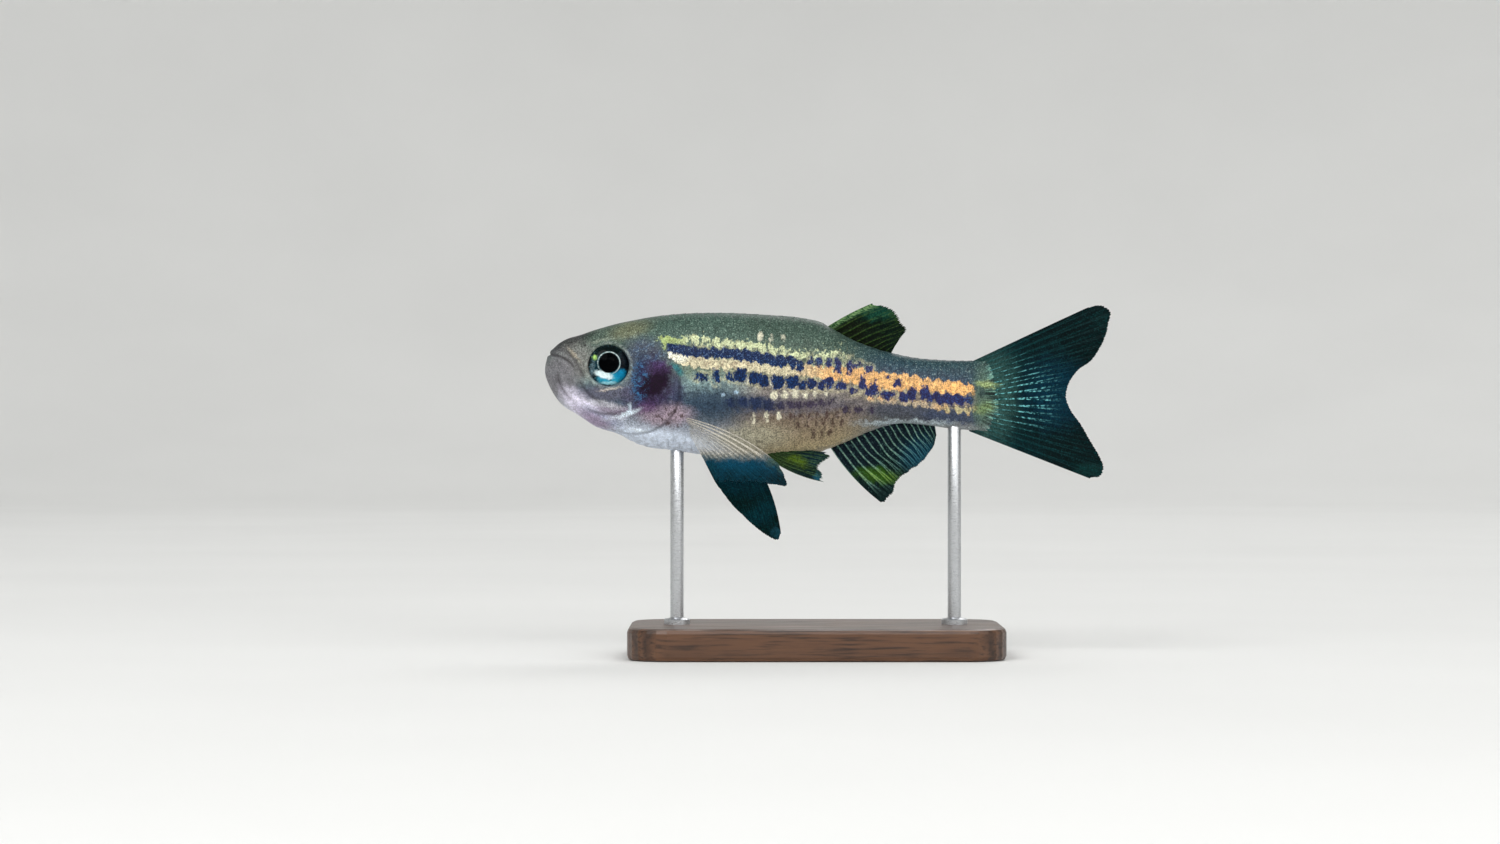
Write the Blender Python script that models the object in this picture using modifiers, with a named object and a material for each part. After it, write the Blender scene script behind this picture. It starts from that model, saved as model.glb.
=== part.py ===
"""A zebra danio, life size, swimming above a plain display stand.

The fish faces -X and its left flank faces -Y. Its measures are millimetres in the fish's own frame: x
runs back from the tip of the snout, y towards the right flank and z up. The finished object is in metres,
with its origin at the middle of the stand's underside.
"""
import math

import bmesh
import bpy
import numpy as np
from mathutils import Matrix, Vector

MM = 0.001
GAP = 0.3  # between neighbouring nodes

# The fish over the stand
ORIGIN_X = 20.3  # the station of the fish that stands over the middle of the base
SNOUT_LEVEL = 21.3  # height of the snout above the floor

# The body in the side view
NOSE_ROUND = 2.2  # length over which the snout is rounded off
BACK = ((0.0, 2.45), (2.2, 2.65), (3.9, 3.2), (6.6, 3.88), (9.3, 4.28), (12.9, 4.43), (16.5, 4.28),
        (19.5, 4.0), (20.7, 3.72), (21.8, 3.1), (23.0, 2.45), (24.4, 1.88), (26.0, 1.42), (28.0, 1.03),
        (30.0, 0.88), (35.0, 0.88))
BELLY = ((0.0, -1.75), (0.75, -2.4), (2.2, -3.05), (3.9, -4.12), (5.4, -4.65), (7.2, -5.5),
         (9.3, -5.82), (11.5, -6.14), (14.0, -6.35), (17.0, -6.33), (20.7, -5.95), (22.3, -5.35),
         (24.6, -4.35), (26.3, -3.88), (28.0, -3.92), (30.2, -4.2), (35.0, -4.6))
# The level of the greatest width, and half of that width
WIDEST_LEVEL = ((0.0, 0.1), (3.0, -0.3), (8.0, -0.6), (14.0, -0.75), (20.0, -1.1), (26.0, -1.3),
                (30.0, -1.65), (35.0, -1.85))
HALF_WIDTH = ((0.0, 1.45), (1.2, 1.55), (2.6, 1.74), (4.8, 2.12), (7.0, 2.38), (9.5, 2.58),
              (13.5, 2.75), (17.0, 2.68), (20.5, 2.38), (24.0, 1.85), (27.5, 1.36), (30.5, 0.98),
              (32.6, 0.62), (35.0, 0.3))
FULLNESS_ABOVE = 2.3  # superellipse exponents of a section above and below its widest level
FULLNESS_BELOW = 2.1
RING_POINTS = 40
NOSE_STATIONS = 7
HEAD_STATION_STEP = 0.5
BODY_STATION_STEP = 0.85
HEAD_END = 10.0
LOFT_END = 34.4

# Lines of the side view along which the body is parted. Each runs on past the outline.
MOUTH_AND_JAW = ((-0.7, 1.5), (0.35, 1.32), (0.95, 1.2), (1.55, 0.95), (2.1, 0.5), (2.5, -0.15),
                 (2.95, -1.3), (3.55, -2.7), (4.35, -4.1), (5.0, -5.3))
MOUTH_CORNER = 0.4  # share of that line's length that is the mouth
GILL_OPENING = ((8.0, 5.2), (8.7, 3.7), (9.35, 2.2), (9.9, 0.7), (10.1, -0.9), (9.95, -2.4), (9.2, -3.7),
                (8.0, -4.4), (6.5, -4.6), (5.3, -4.35), (4.2, -4.0), (3.9, -5.2))
TRUNK_END = ((20.5, 5.0), (20.45, 1.0), (20.6, -3.0), (20.5, -7.5))
TAIL_ROOT = ((32.0, 2.2), (32.45, 0.9), (32.95, -0.6), (33.05, -2.0), (32.9, -3.3), (32.5, -4.6),
             (32.2, -6.0))
WALL_HALF_WIDTH = 4.0

# Gill covers: plates that lie in a pocket of the head behind this line
PREOPERCLE = ((9.8, 2.35), (8.3, 2.1), (7.4, 1.3), (7.0, 0.0), (6.85, -1.5), (6.95, -2.9), (7.4, -4.0),
              (7.9, -5.2))
GILL_COVER_REAR = 11.2
GILL_COVER_THICKNESS = 0.6

# Eyes
EYE_X = 4.85
EYE_Z = 0.45
EYE_RADIUS = 1.5
EYE_DEPTH = 0.8  # half of the globe's depth across the head
EYE_STANDS_OUT = 0.3
PUPIL_RADIUS = 0.74
PUPIL_RISE = 0.08
EYE_STEPS = 28
ORBIT_RIM_RADIUS = 0.2

# Lips and nostrils
LIP_RADIUS = 0.24
LIP_OFFSET = 0.33
LIP_SUNK = 0.14
NOSTRIL_X = 2.95
NOSTRIL_Z = 1.85
NOSTRIL_RADIUS = 0.2
NOSTRIL_DEPTH = 0.35

# Fins: the rays stand up as ridges on both faces of the membrane, and it all thins towards the margin
MEMBRANE_THICKNESS = 0.52
RIDGE_HEIGHT = 0.12
RIDGE_SLOPE = 0.7  # most height of a ridge over the distance from its ray to the middle of the membrane
MARGIN_SHARE = 0.62
MARGIN_NOTCH = 0.014  # how far the margin is drawn in between two rays, as a share of their length

CAUDAL_MARGIN = ((40.8, 4.9), (41.8, 5.0), (42.4, 4.45), (42.3, 3.6), (41.85, 2.3), (41.05, 0.9),
                 (39.95, 0.1), (39.3, -0.85), (39.15, -1.9), (39.5, -2.9), (40.3, -4.0), (41.05, -5.4),
                 (41.7, -6.5), (41.95, -7.15), (41.75, -7.8), (40.9, -8.0))
CAUDAL_RAYS = 19
CAUDAL_WAVE = 0.35  # how far the lobes lean to the two sides

DORSAL_ROOT_X = (20.95, 25.8)
DORSAL_MARGIN = ((24.65, 5.2), (25.75, 4.9), (26.3, 4.4), (26.75, 3.85), (27.15, 3.2), (26.85, 2.75),
                 (26.5, 2.3), (26.2, 1.85))
DORSAL_RAYS = 9

ANAL_ROOT_X = (21.5, 29.2)
ANAL_MARGIN = ((24.9, -9.55), (25.3, -9.82), (25.75, -9.4), (26.2, -8.8), (26.5, -8.1), (27.1, -7.6),
               (27.95, -7.0), (28.7, -6.25), (29.2, -5.4), (29.35, -4.75))
ANAL_RAYS = 14

PELVIC_ROOT = ((16.4, -6.1), (17.45, -5.75))
PELVIC_MARGIN = ((20.7, 1.9, -8.15), (20.95, 1.75, -7.9), (20.85, 1.55, -7.4), (20.65, 1.3, -7.0),
                 (20.3, 1.05, -6.78))
PELVIC_RAYS = 7

PECTORAL_ROOT = ((10.55, -3.45), (11.1, -4.45))
PECTORAL_RAYS = 12
# Each margin point is x, distance from the middle plane, z. The left fin is held out, the right one down.
LEFT_PECTORAL_MARGIN = ((17.95, 7.9, -8.15), (18.0, 7.7, -8.5), (17.0, 7.0, -8.65), (15.6, 6.1, -8.4),
                        (14.2, 5.0, -8.05), (12.95, 3.9, -7.6))
LEFT_PECTORAL_BEND = (0.7, 0.3, 0.95)
RIGHT_PECTORAL_MARGIN = ((17.75, 4.5, -12.25), (17.55, 4.45, -12.65), (16.6, 4.3, -12.35),
                         (15.2, 4.1, -11.2), (13.9, 3.8, -9.9), (12.8, 3.4, -8.4))
RIGHT_PECTORAL_BEND = (1.35, 0.35, 1.55)

# Stand
BASE_LENGTH = 28.0
BASE_WIDTH = 16.0
BASE_HEIGHT = 2.4
BASE_CORNER = 3.0
BASE_EDGE = 0.35
ROD_STATIONS = {"front": 9.9, "rear": 30.7}
ROD_RADIUS = 0.5
ROD_SIDES = 20

# Colour, roughness and metallic value of each node's material
LOOKS = {
    "head": ((0.22, 0.23, 0.22), 0.35, 0),
    "lower_jaw": ((0.45, 0.43, 0.48), 0.35, 0),
    "gill_cover": ((0.22, 0.17, 0.26), 0.3, 0),
    "eye": ((0.35, 0.6, 0.66), 0.1, 0),
    "trunk": ((0.3, 0.33, 0.32), 0.35, 0),
    "tail_stem": ((0.45, 0.38, 0.25), 0.35, 0),
    "caudal_fin": ((0.01, 0.1, 0.13), 0.4, 0),
    "dorsal_fin": ((0.02, 0.05, 0.03), 0.4, 0),
    "anal_fin": ((0.05, 0.12, 0.1), 0.4, 0),
    "pelvic_fin": ((0.05, 0.09, 0.03), 0.4, 0),
    "pectoral_fin": ((0.02, 0.09, 0.12), 0.4, 0),
    "stand_base": ((0.09, 0.06, 0.045), 0.35, 0),
    "stand_rod": ((0.62, 0.63, 0.65), 0.3, 1),
}


def along(points, x):
    """The value at x on a smooth line through (x, value) points."""
    xs, values = np.array(points, float).T
    slopes = np.gradient(values, xs)
    x = np.asarray(x, float)
    i = np.clip(np.searchsorted(xs, x) - 1, 0, len(xs) - 2)
    step = xs[i + 1] - xs[i]
    t = np.clip((x - xs[i]) / step, 0, 1)
    return (values[i] * (1 + 2 * t) * (1 - t) ** 2 + slopes[i] * step * t * (1 - t) ** 2
            + values[i + 1] * t * t * (3 - 2 * t) - slopes[i + 1] * step * t * t * (1 - t))


def path(points, shares):
    """Points at these shares of the length of a smooth line through the given points."""
    points = np.array(points, float)
    steps = np.linalg.norm(np.diff(points, axis=0), axis=1)
    reach = np.concatenate([[0], np.cumsum(steps)]) / steps.sum()
    return np.stack([along(np.stack([reach, axis], 1), shares) for axis in points.T], -1)


def section(x):
    """The body's top, bottom, widest level and half width at x."""
    nose = np.sqrt(1 - (1 - np.clip(np.asarray(x, float) / NOSE_ROUND, 0, 1)) ** 2)
    middle = along(WIDEST_LEVEL, x)
    top = middle + (along(BACK, x) - middle) * nose
    bottom = middle + (along(BELLY, x) - middle) * nose
    return top, bottom, middle, along(HALF_WIDTH, x) * nose


def half_width(x, z):
    """Half of the body's width at a point of the side view, 0 outside the outline."""
    top, bottom, middle, wide = section(x)
    above = z > middle
    height = np.where(above, top - middle, middle - bottom)
    full = np.where(above, FULLNESS_ABOVE, FULLNESS_BELOW)
    share = np.clip(np.abs(z - middle) / np.maximum(height, 1e-6), 0, 1)
    return wide * (1 - share ** full) ** (1 / full)


def outward(x, z, side):
    """The body's outward normal at a point of the side view, on side -1 (left) or 1 (right)."""
    step = 0.05
    slope_x = (half_width(x + step, z) - half_width(x - step, z)) / (2 * step)
    slope_z = (half_width(x, z + step) - half_width(x, z - step)) / (2 * step)
    return Vector((-slope_x, side, -slope_z)).normalized()


def place(x, y, z):
    """A point of the fish in metres."""
    return Vector((x * MM, y * MM, z * MM))


def new_object(name, mesh, collection):
    made = bpy.data.objects.new(name, mesh)
    collection.objects.link(made)
    return made


def evaluated_mesh(obj):
    bpy.context.view_layer.update()
    graph = bpy.context.evaluated_depsgraph_get()
    return bpy.data.meshes.new_from_object(obj.evaluated_get(graph))


def cleaned(mesh):
    """Welds the mesh and turns its faces outwards."""
    bm = bmesh.new()
    bm.from_mesh(mesh)
    bmesh.ops.remove_doubles(bm, verts=bm.verts, dist=1e-7)
    bmesh.ops.recalc_face_normals(bm, faces=bm.faces)
    bm.to_mesh(mesh)
    bm.free()
    return mesh


def solid_of_curve(curve_object):
    """A closed mesh object in place of a curve object."""
    mesh = evaluated_mesh(curve_object)
    mesh.transform(curve_object.matrix_world)
    name = curve_object.name
    bpy.data.objects.remove(curve_object)
    return new_object(name, cleaned(mesh), CUTTERS)


def combine(base, others, operation):
    """Applies one Boolean of base with closed meshes, which are then removed."""
    group = bpy.data.collections.new("operands")
    for other in others:
        group.objects.link(other)
    modifier = base.modifiers.new("combine", "BOOLEAN")
    modifier.operation = operation
    modifier.solver = "EXACT"
    modifier.operand_type = "COLLECTION"
    modifier.collection = group
    mesh = evaluated_mesh(base)
    base.modifiers.clear()
    base.data = mesh
    for other in others:
        bpy.data.objects.remove(other)
    bpy.data.collections.remove(group)
    return base


def closed_parts(obj):
    """The separate closed surfaces of an object as meshes, largest first."""
    bm = bmesh.new()
    bm.from_mesh(obj.data)
    left = set(bm.verts)
    groups = []
    while left:
        seed = left.pop()
        group, edge = {seed}, [seed]
        while edge:
            vertex = edge.pop()
            for link in vertex.link_edges:
                other = link.other_vert(vertex)
                if other in left:
                    left.discard(other)
                    group.add(other)
                    edge.append(other)
        groups.append(group)
    meshes = []
    for group in groups:
        part = bm.copy()
        part.verts.ensure_lookup_table()
        kept = {vertex.index for vertex in group}
        bmesh.ops.delete(part, geom=[v for v in part.verts if v.index not in kept], context="VERTS")
        volume = part.calc_volume()
        mesh = bpy.data.meshes.new("part")
        part.to_mesh(mesh)
        part.free()
        meshes.append((volume, mesh))
    bm.free()
    return [mesh for volume, mesh in sorted(meshes, key=lambda pair: -pair[0])]


def keep_largest(obj):
    obj.data = closed_parts(obj)[0]
    return obj


def part_around(meshes, x, y, z):
    """The one of these meshes whose box has the point nearest its middle."""
    wanted = place(x, y, z)

    def distance(mesh):
        corners = np.array([v.co for v in mesh.vertices])
        return (Vector((corners.min(0) + corners.max(0)) / 2) - wanted).length

    return min(meshes, key=distance)


def side_outline(name, points, half_depth):
    """A plate whose outline lies in the side view, extruded through the middle plane."""
    curve = bpy.data.curves.new(name, "CURVE")
    curve.dimensions = "2D"
    curve.fill_mode = "BOTH"
    curve.extrude = half_depth * MM
    spline = curve.splines.new("POLY")
    spline.points.add(len(points) - 1)
    for point, (x, z) in zip(spline.points, points):
        where = place(x, 0, z)
        point.co = (where.x, where.z, 0, 1)
    spline.use_cyclic_u = True
    obj = new_object(name, curve, CUTTERS)
    obj.rotation_euler = (math.pi / 2, 0, 0)
    return solid_of_curve(obj)


def wall(name, line, steps):
    """A cutter one gap thick that follows a line of the side view through the whole body."""
    middle = path(line, np.linspace(0, 1, steps))
    run = np.gradient(middle, axis=0)
    run /= np.linalg.norm(run, axis=1)[:, None]
    across = np.stack([-run[:, 1], run[:, 0]], 1) * GAP / 2
    return side_outline(name, np.concatenate([middle + across, (middle - across)[::-1]]), WALL_HALF_WIDTH)


def tube(name, points, radius, closed=False):
    """A round tube through points in metres, as a closed mesh."""
    curve = bpy.data.curves.new(name, "CURVE")
    curve.dimensions = "3D"
    curve.bevel_depth = radius * MM
    curve.bevel_resolution = 1
    curve.use_fill_caps = True
    spline = curve.splines.new("POLY")
    spline.points.add(len(points) - 1)
    for point, where in zip(spline.points, points):
        point.co = (*where, 1)
    spline.use_cyclic_u = closed
    return solid_of_curve(new_object(name, curve, CUTTERS))


def stations():
    """Where the loft has its sections: close together on the snout and the head."""
    nose = NOSE_ROUND * (1 - np.cos(np.linspace(0, math.pi / 2, NOSE_STATIONS + 1)[1:]))
    head = np.arange(NOSE_ROUND + HEAD_STATION_STEP, HEAD_END, HEAD_STATION_STEP)
    body = np.linspace(HEAD_END, LOFT_END, round((LOFT_END - HEAD_END) / BODY_STATION_STEP))
    return np.concatenate([nose, head, body])


def body_loft(name, inset=0.0):
    """The whole body without fins, lofted through its sections. inset takes that much off each side."""
    xs = stations()
    angles = np.linspace(0, 2 * math.pi, RING_POINTS, endpoint=False)
    bm = bmesh.new()
    rings = []
    for x in xs:
        top, bottom, middle, wide = section(x)
        wide = max(wide - inset, 0.02)
        ring = []
        for angle in angles:
            across, up = math.cos(angle), math.sin(angle)
            full = FULLNESS_ABOVE if up > 0 else FULLNESS_BELOW
            height = top - middle if up > 0 else middle - bottom
            y = wide * math.copysign(abs(across) ** (2 / full), across)
            z = middle + height * math.copysign(abs(up) ** (2 / full), up)
            ring.append(bm.verts.new(place(x, y, z)))
        rings.append(ring)
    for ring, after in zip(rings, rings[1:]):
        for i, vertex in enumerate(ring):
            j = (i + 1) % RING_POINTS
            bm.faces.new((vertex, ring[j], after[j], after[i]))
    tip = bm.verts.new(place(0, 0, along(WIDEST_LEVEL, 0)))
    end = bm.verts.new(place(xs[-1], 0, along(WIDEST_LEVEL, xs[-1])))
    for i in range(RING_POINTS):
        j = (i + 1) % RING_POINTS
        bm.faces.new((tip, rings[0][j], rings[0][i]))
        bm.faces.new((end, rings[-1][i], rings[-1][j]))
    bmesh.ops.recalc_face_normals(bm, faces=bm.faces)
    mesh = bpy.data.meshes.new(name)
    bm.to_mesh(mesh)
    bm.free()
    return new_object(name, mesh, CUTTERS)


def surface_point(x, z, side, sunk):
    """A point under the body's surface by sunk, at a place of the side view."""
    return place(x, side * half_width(x, z), z) - outward(x, z, side) * sunk * MM


def lip(name, offset):
    """A rounded ridge beside the mouth's line, from one corner round the snout to the other."""
    line = path(MOUTH_AND_JAW, np.linspace(MOUTH_CORNER, 0, 60)) + (0, offset)
    on_body = [(x, z) for x, z in line if half_width(x, z) > 0.25]
    left = []
    for i, (x, z) in enumerate(on_body):
        sunk = LIP_SUNK + 2 * LIP_RADIUS * max(0, 1 - i / (0.3 * len(on_body))) ** 2
        left.append(surface_point(x, z, -1, sunk))
    right = [Vector((point.x, -point.y, point.z)) for point in reversed(left)]
    ring = path(left + right, np.linspace(0, 1, 26))
    return tube(name, [Vector(point) for point in ring], LIP_RADIUS)


def orbit_rim(side):
    """A low ridge in the skin round one eye."""
    points = []
    for angle in np.linspace(0, 2 * math.pi, 28, endpoint=False):
        x = EYE_X + (EYE_RADIUS + GAP + 0.12) * math.cos(angle)
        z = EYE_Z + (EYE_RADIUS + GAP + 0.12) * math.sin(angle)
        points.append(surface_point(x, z, side, 0.08))
    return tube("orbit_rim", points, ORBIT_RIM_RADIUS, closed=True)


def nostril(side):
    """The cutter of one nostril, a short round pit."""
    along_normal = outward(NOSTRIL_X, NOSTRIL_Z, side)
    middle = surface_point(NOSTRIL_X, NOSTRIL_Z, side, 0)
    turn = along_normal.to_track_quat("Z", "Y").to_matrix().to_4x4()
    bm = bmesh.new()
    bmesh.ops.create_cone(bm, cap_ends=True, segments=12, radius1=NOSTRIL_RADIUS * MM,
                          radius2=NOSTRIL_RADIUS * MM, depth=2 * NOSTRIL_DEPTH * MM,
                          matrix=Matrix.Translation(middle) @ turn)
    mesh = bpy.data.meshes.new("nostril")
    bm.to_mesh(mesh)
    bm.free()
    return new_object("nostril", mesh, CUTTERS)


def eye_centre(side):
    return place(EYE_X, side * (half_width(EYE_X, EYE_Z) + EYE_STANDS_OUT - EYE_DEPTH), EYE_Z)


def socket(side):
    """The cutter of one eye socket, a gap larger than the globe all round."""
    bm = bmesh.new()
    grown = Matrix.Diagonal((EYE_RADIUS + GAP, EYE_DEPTH + GAP, EYE_RADIUS + GAP, 1))
    bmesh.ops.create_uvsphere(bm, u_segments=EYE_STEPS, v_segments=14, radius=MM,
                              matrix=Matrix.Translation(eye_centre(side)) @ grown
                              @ Matrix.Rotation(math.pi / 2, 4, "X"))
    mesh = bpy.data.meshes.new("socket")
    bm.to_mesh(mesh)
    bm.free()
    return new_object("socket", mesh, CUTTERS)


def eye(name, side):
    """One globe, turned about the line across the head, with the pupil standing out a little."""
    def bulge(radius):
        return EYE_DEPTH * math.sqrt(max(0, 1 - (radius / EYE_RADIUS) ** 2))

    pupil = [(r, bulge(r) + PUPIL_RISE) for r in np.linspace(0, PUPIL_RADIUS, 4)]
    iris = [(r, bulge(r)) for r in EYE_RADIUS * np.sin(np.linspace(0.57, math.pi / 2, 6))]
    back = [(r, -bulge(r)) for r in EYE_RADIUS * np.cos(np.linspace(0, math.pi / 2, 7)[1:])]
    profile = pupil + iris + back
    mesh = bpy.data.meshes.new(name)
    mesh.from_pydata([(r * MM, 0, z * MM) for r, z in profile],
                     [(i, i + 1) for i in range(len(profile) - 1)], [])
    made = new_object(name, mesh, MODEL)
    made.location = eye_centre(side)
    made.rotation_euler = (-side * math.pi / 2, 0, 0)
    turned = made.modifiers.new("turn", "SCREW")
    turned.steps = turned.render_steps = EYE_STEPS
    turned.use_merge_vertices = True
    turned.merge_threshold = 1e-5
    return made


def fin_sheet(roots, tips, bend, rays, rows, wave):
    """The points of a fin's middle sheet and its thickness there, as arrays of rows by columns.

    Every second column is a ray. roots and tips are points along the base and the margin, from the
    leading ray to the last one, bend moves the middle of the leading ray, and wave leans the two ends
    of a fan to the two sides.
    """
    columns = 2 * rays - 1
    u = np.linspace(0, 1, columns)
    v = np.linspace(0, 1, rows + 1)[:, None]
    is_ray = np.arange(columns) % 2 == 0
    base, margin = path(roots, u), path(tips, u)
    length = (v * np.where(is_ray, 1, 1 - MARGIN_NOTCH * v))[..., None]
    points = base + (margin - base) * length
    points += np.array(bend) * 4 * length * (1 - length) * ((1 - u) ** 1.5)[:, None]
    points[..., 1] += wave * v ** 2 * np.sin(2 * math.pi * (u - 0.5))
    spacing = np.linalg.norm(np.diff(points, axis=1), axis=2)
    beside_ray = np.minimum(np.pad(spacing, ((0, 0), (1, 0)), "edge"), np.pad(spacing, ((0, 0), (0, 1)), "edge"))
    ridge = np.where(is_ray, np.minimum(RIDGE_HEIGHT, RIDGE_SLOPE * beside_ray), 0)
    thickness = (MEMBRANE_THICKNESS + 2 * ridge) * (1 - (1 - MARGIN_SHARE) * v ** 2)
    return points, thickness


def fin(name, roots, tips, bend, rays, rows, wave=0.0):
    """A fin as a sheet of rays and membrane, made solid about its middle."""
    points, thickness = fin_sheet(roots, tips, bend, rays, rows, wave)
    columns = points.shape[1]
    faces = [(a, a + 1, a + 1 + columns, a + columns)
             for row in range(rows) for a in range(row * columns, (row + 1) * columns - 1)]
    mesh = bpy.data.meshes.new(name)
    mesh.from_pydata([place(*point) for point in points.reshape(-1, 3)], [], faces)
    made = new_object(name, mesh, MODEL)
    group = made.vertex_groups.new(name="thickness")
    thickest = thickness.max()
    for index, share in enumerate(thickness.ravel() / thickest):
        group.add([index], share, "REPLACE")
    split = made.modifiers.new("triangles", "TRIANGULATE")
    split.quad_method = "FIXED"
    solid = made.modifiers.new("thickness", "SOLIDIFY")
    solid.thickness = thickest * MM
    solid.offset = 0
    solid.vertex_group = "thickness"
    return made


def flat(points):
    """Side-view points as points of the middle plane."""
    return [(x, 0, z) for x, z in points]


def beside(points, side):
    """Margin points of a paired fin on side -1 or 1."""
    return [(x, side * y, z) for x, y, z in points]


def paired_root(points, side):
    """The base line of a paired fin, one gap off the body's surface."""
    line = path(points, np.linspace(0, 1, 5))
    made = []
    for x, z in line:
        normal = outward(x, z, side)
        off = normal * (GAP + MEMBRANE_THICKNESS / 2 * abs(normal.z))
        made.append((x + off.x, side * half_width(x, z) + off.y, z + off.z))
    return made


def median_root(xs, line, direction):
    """The base line of the dorsal or anal fin, one gap off the back or belly."""
    stations_along = np.linspace(*xs, 7)
    return [(x, 0, float(along(line, x)) + direction * GAP) for x in stations_along]


def caudal_root():
    """The tail fin's base line, one gap behind the end of the tail."""
    line = path(TAIL_ROOT, np.linspace(0.18, 0.82, 9))
    return [(x + GAP / 2, 0, z) for x, z in line]


def make_flesh():
    """Head, lower jaw, gill covers, trunk and tail, parted by thin cuts from one body."""
    whole = body_loft("whole")
    ridges = [lip("upper_lip", LIP_OFFSET), lip("lower_lip", -LIP_OFFSET), orbit_rim(-1), orbit_rim(1)]
    combine(whole, ridges, "UNION")
    keep_largest(whole)
    cuts = [wall("mouth_cut", MOUTH_AND_JAW, 24), wall("gill_cut", GILL_OPENING, 26),
            wall("trunk_cut", TRUNK_END, 6), wall("tail_cut", TAIL_ROOT, 14)]
    combine(whole, cuts, "DIFFERENCE")
    parts = closed_parts(whole)
    made = {
        "head": part_around(parts, 6.0, 0, -0.3),
        "lower_jaw": part_around(parts, 2.2, 0, -1.5),
        "trunk": part_around(parts, 13.0, 0, -0.9),
        "tail_stem": part_around(parts, 27.0, 0, -1.0),
    }
    bpy.data.objects.remove(whole)
    nodes = {name: new_object(name, mesh, MODEL) for name, mesh in made.items()}

    front = path(PREOPERCLE, np.linspace(0, 1, 24))
    rear = [(GILL_COVER_REAR, PREOPERCLE[-1][1]), (GILL_COVER_REAR, PREOPERCLE[0][1])]
    plates = new_object("plates", nodes["head"].data.copy(), CUTTERS)
    behind = side_outline("behind", np.concatenate([front + (GAP, -GAP * 0.4), rear]), WALL_HALF_WIDTH)
    combine(plates, [behind], "INTERSECT")
    combine(plates, [body_loft("core", GILL_COVER_THICKNESS)], "DIFFERENCE")
    left, right = closed_parts(plates)[:2]
    if np.mean([v.co.y for v in left.vertices]) > 0:
        left, right = right, left
    bpy.data.objects.remove(plates)
    nodes["gill_cover_left"] = new_object("gill_cover_left", left, MODEL)
    nodes["gill_cover_right"] = new_object("gill_cover_right", right, MODEL)

    pocket = side_outline("pocket", np.concatenate([front, rear]), WALL_HALF_WIDTH)
    combine(pocket, [body_loft("core", GILL_COVER_THICKNESS + GAP)], "DIFFERENCE")
    combine(nodes["head"], [pocket, socket(-1), socket(1), nostril(-1), nostril(1)], "DIFFERENCE")
    keep_largest(nodes["head"])
    return nodes


def make_fins():
    nodes = {
        "caudal_fin": fin("caudal_fin", caudal_root(), flat(CAUDAL_MARGIN), (0, 0, 0), CAUDAL_RAYS, 8,
                          CAUDAL_WAVE),
        "dorsal_fin": fin("dorsal_fin", median_root(DORSAL_ROOT_X, BACK, 1), flat(DORSAL_MARGIN),
                          (0, 0, 0.12), DORSAL_RAYS, 6),
        "anal_fin": fin("anal_fin", median_root(ANAL_ROOT_X, BELLY, -1), flat(ANAL_MARGIN),
                        (-0.15, 0, -0.2), ANAL_RAYS, 6),
    }
    margins = {-1: (LEFT_PECTORAL_MARGIN, LEFT_PECTORAL_BEND),
               1: (RIGHT_PECTORAL_MARGIN, RIGHT_PECTORAL_BEND)}
    for side, word in ((-1, "left"), (1, "right")):
        margin, (bend_x, bend_y, bend_z) = margins[side]
        name = f"pectoral_fin_{word}"
        nodes[name] = fin(name, paired_root(PECTORAL_ROOT, side), beside(margin, side),
                          (bend_x, side * bend_y, bend_z), PECTORAL_RAYS, 8)
        name = f"pelvic_fin_{word}"
        nodes[name] = fin(name, paired_root(PELVIC_ROOT, side), beside(PELVIC_MARGIN, side),
                          (0, 0, 0), PELVIC_RAYS, 5)
    return nodes


def make_base():
    """A rounded rectangular base with its edges eased."""
    bm = bmesh.new()
    bmesh.ops.create_cube(bm, size=MM, matrix=Matrix.Diagonal((BASE_LENGTH, BASE_WIDTH, BASE_HEIGHT, 1)))
    upright = [e for e in bm.edges if abs(e.verts[0].co.z - e.verts[1].co.z) > MM]
    bmesh.ops.bevel(bm, geom=upright, offset=BASE_CORNER * MM, segments=6, profile=0.5, affect="EDGES")
    mesh = bpy.data.meshes.new("stand_base")
    bm.to_mesh(mesh)
    bm.free()
    base = new_object("stand_base", mesh, MODEL)
    base.location.z = BASE_HEIGHT * MM / 2
    eased = base.modifiers.new("eased edges", "BEVEL")
    eased.width = BASE_EDGE * MM
    eased.segments = 2
    eased.limit_method = "ANGLE"
    eased.angle_limit = math.radians(60)
    return base


def make_rod(name, station):
    """A round rod from one gap above the base to one gap under the fish."""
    low = BASE_HEIGHT + GAP
    high = SNOUT_LEVEL + float(section(station)[1]) - GAP
    bm = bmesh.new()
    bmesh.ops.create_cone(bm, cap_ends=True, segments=ROD_SIDES, radius1=ROD_RADIUS * MM,
                          radius2=ROD_RADIUS * MM, depth=(high - low) * MM)
    mesh = bpy.data.meshes.new(name)
    bm.to_mesh(mesh)
    bm.free()
    rod = new_object(name, mesh, MODEL)
    rod.location = ((station - ORIGIN_X) * MM, 0, (low + high) / 2 * MM)
    return rod


def finish(obj):
    """The node's own material, and smooth shading with sharp edges kept."""
    colour, roughness, metallic = next(look for name, look in LOOKS.items() if obj.name.startswith(name))
    made = bpy.data.materials.new(obj.name)
    made.use_nodes = True
    shader = made.node_tree.nodes["Principled BSDF"]
    shader.inputs["Base Color"].default_value = (*colour, 1)
    shader.inputs["Roughness"].default_value = roughness
    shader.inputs["Metallic"].default_value = metallic
    obj.data.materials.clear()
    obj.data.materials.append(made)
    obj.data.shade_smooth()
    obj.data.set_sharp_from_angle(angle=math.radians(35))


for leftover in list(bpy.data.objects):
    bpy.data.objects.remove(leftover)
MODEL = bpy.data.collections.new("zebra_danio")
CUTTERS = bpy.data.collections.new("cutters")
bpy.context.scene.collection.children.link(MODEL)
bpy.context.scene.collection.children.link(CUTTERS)

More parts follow.
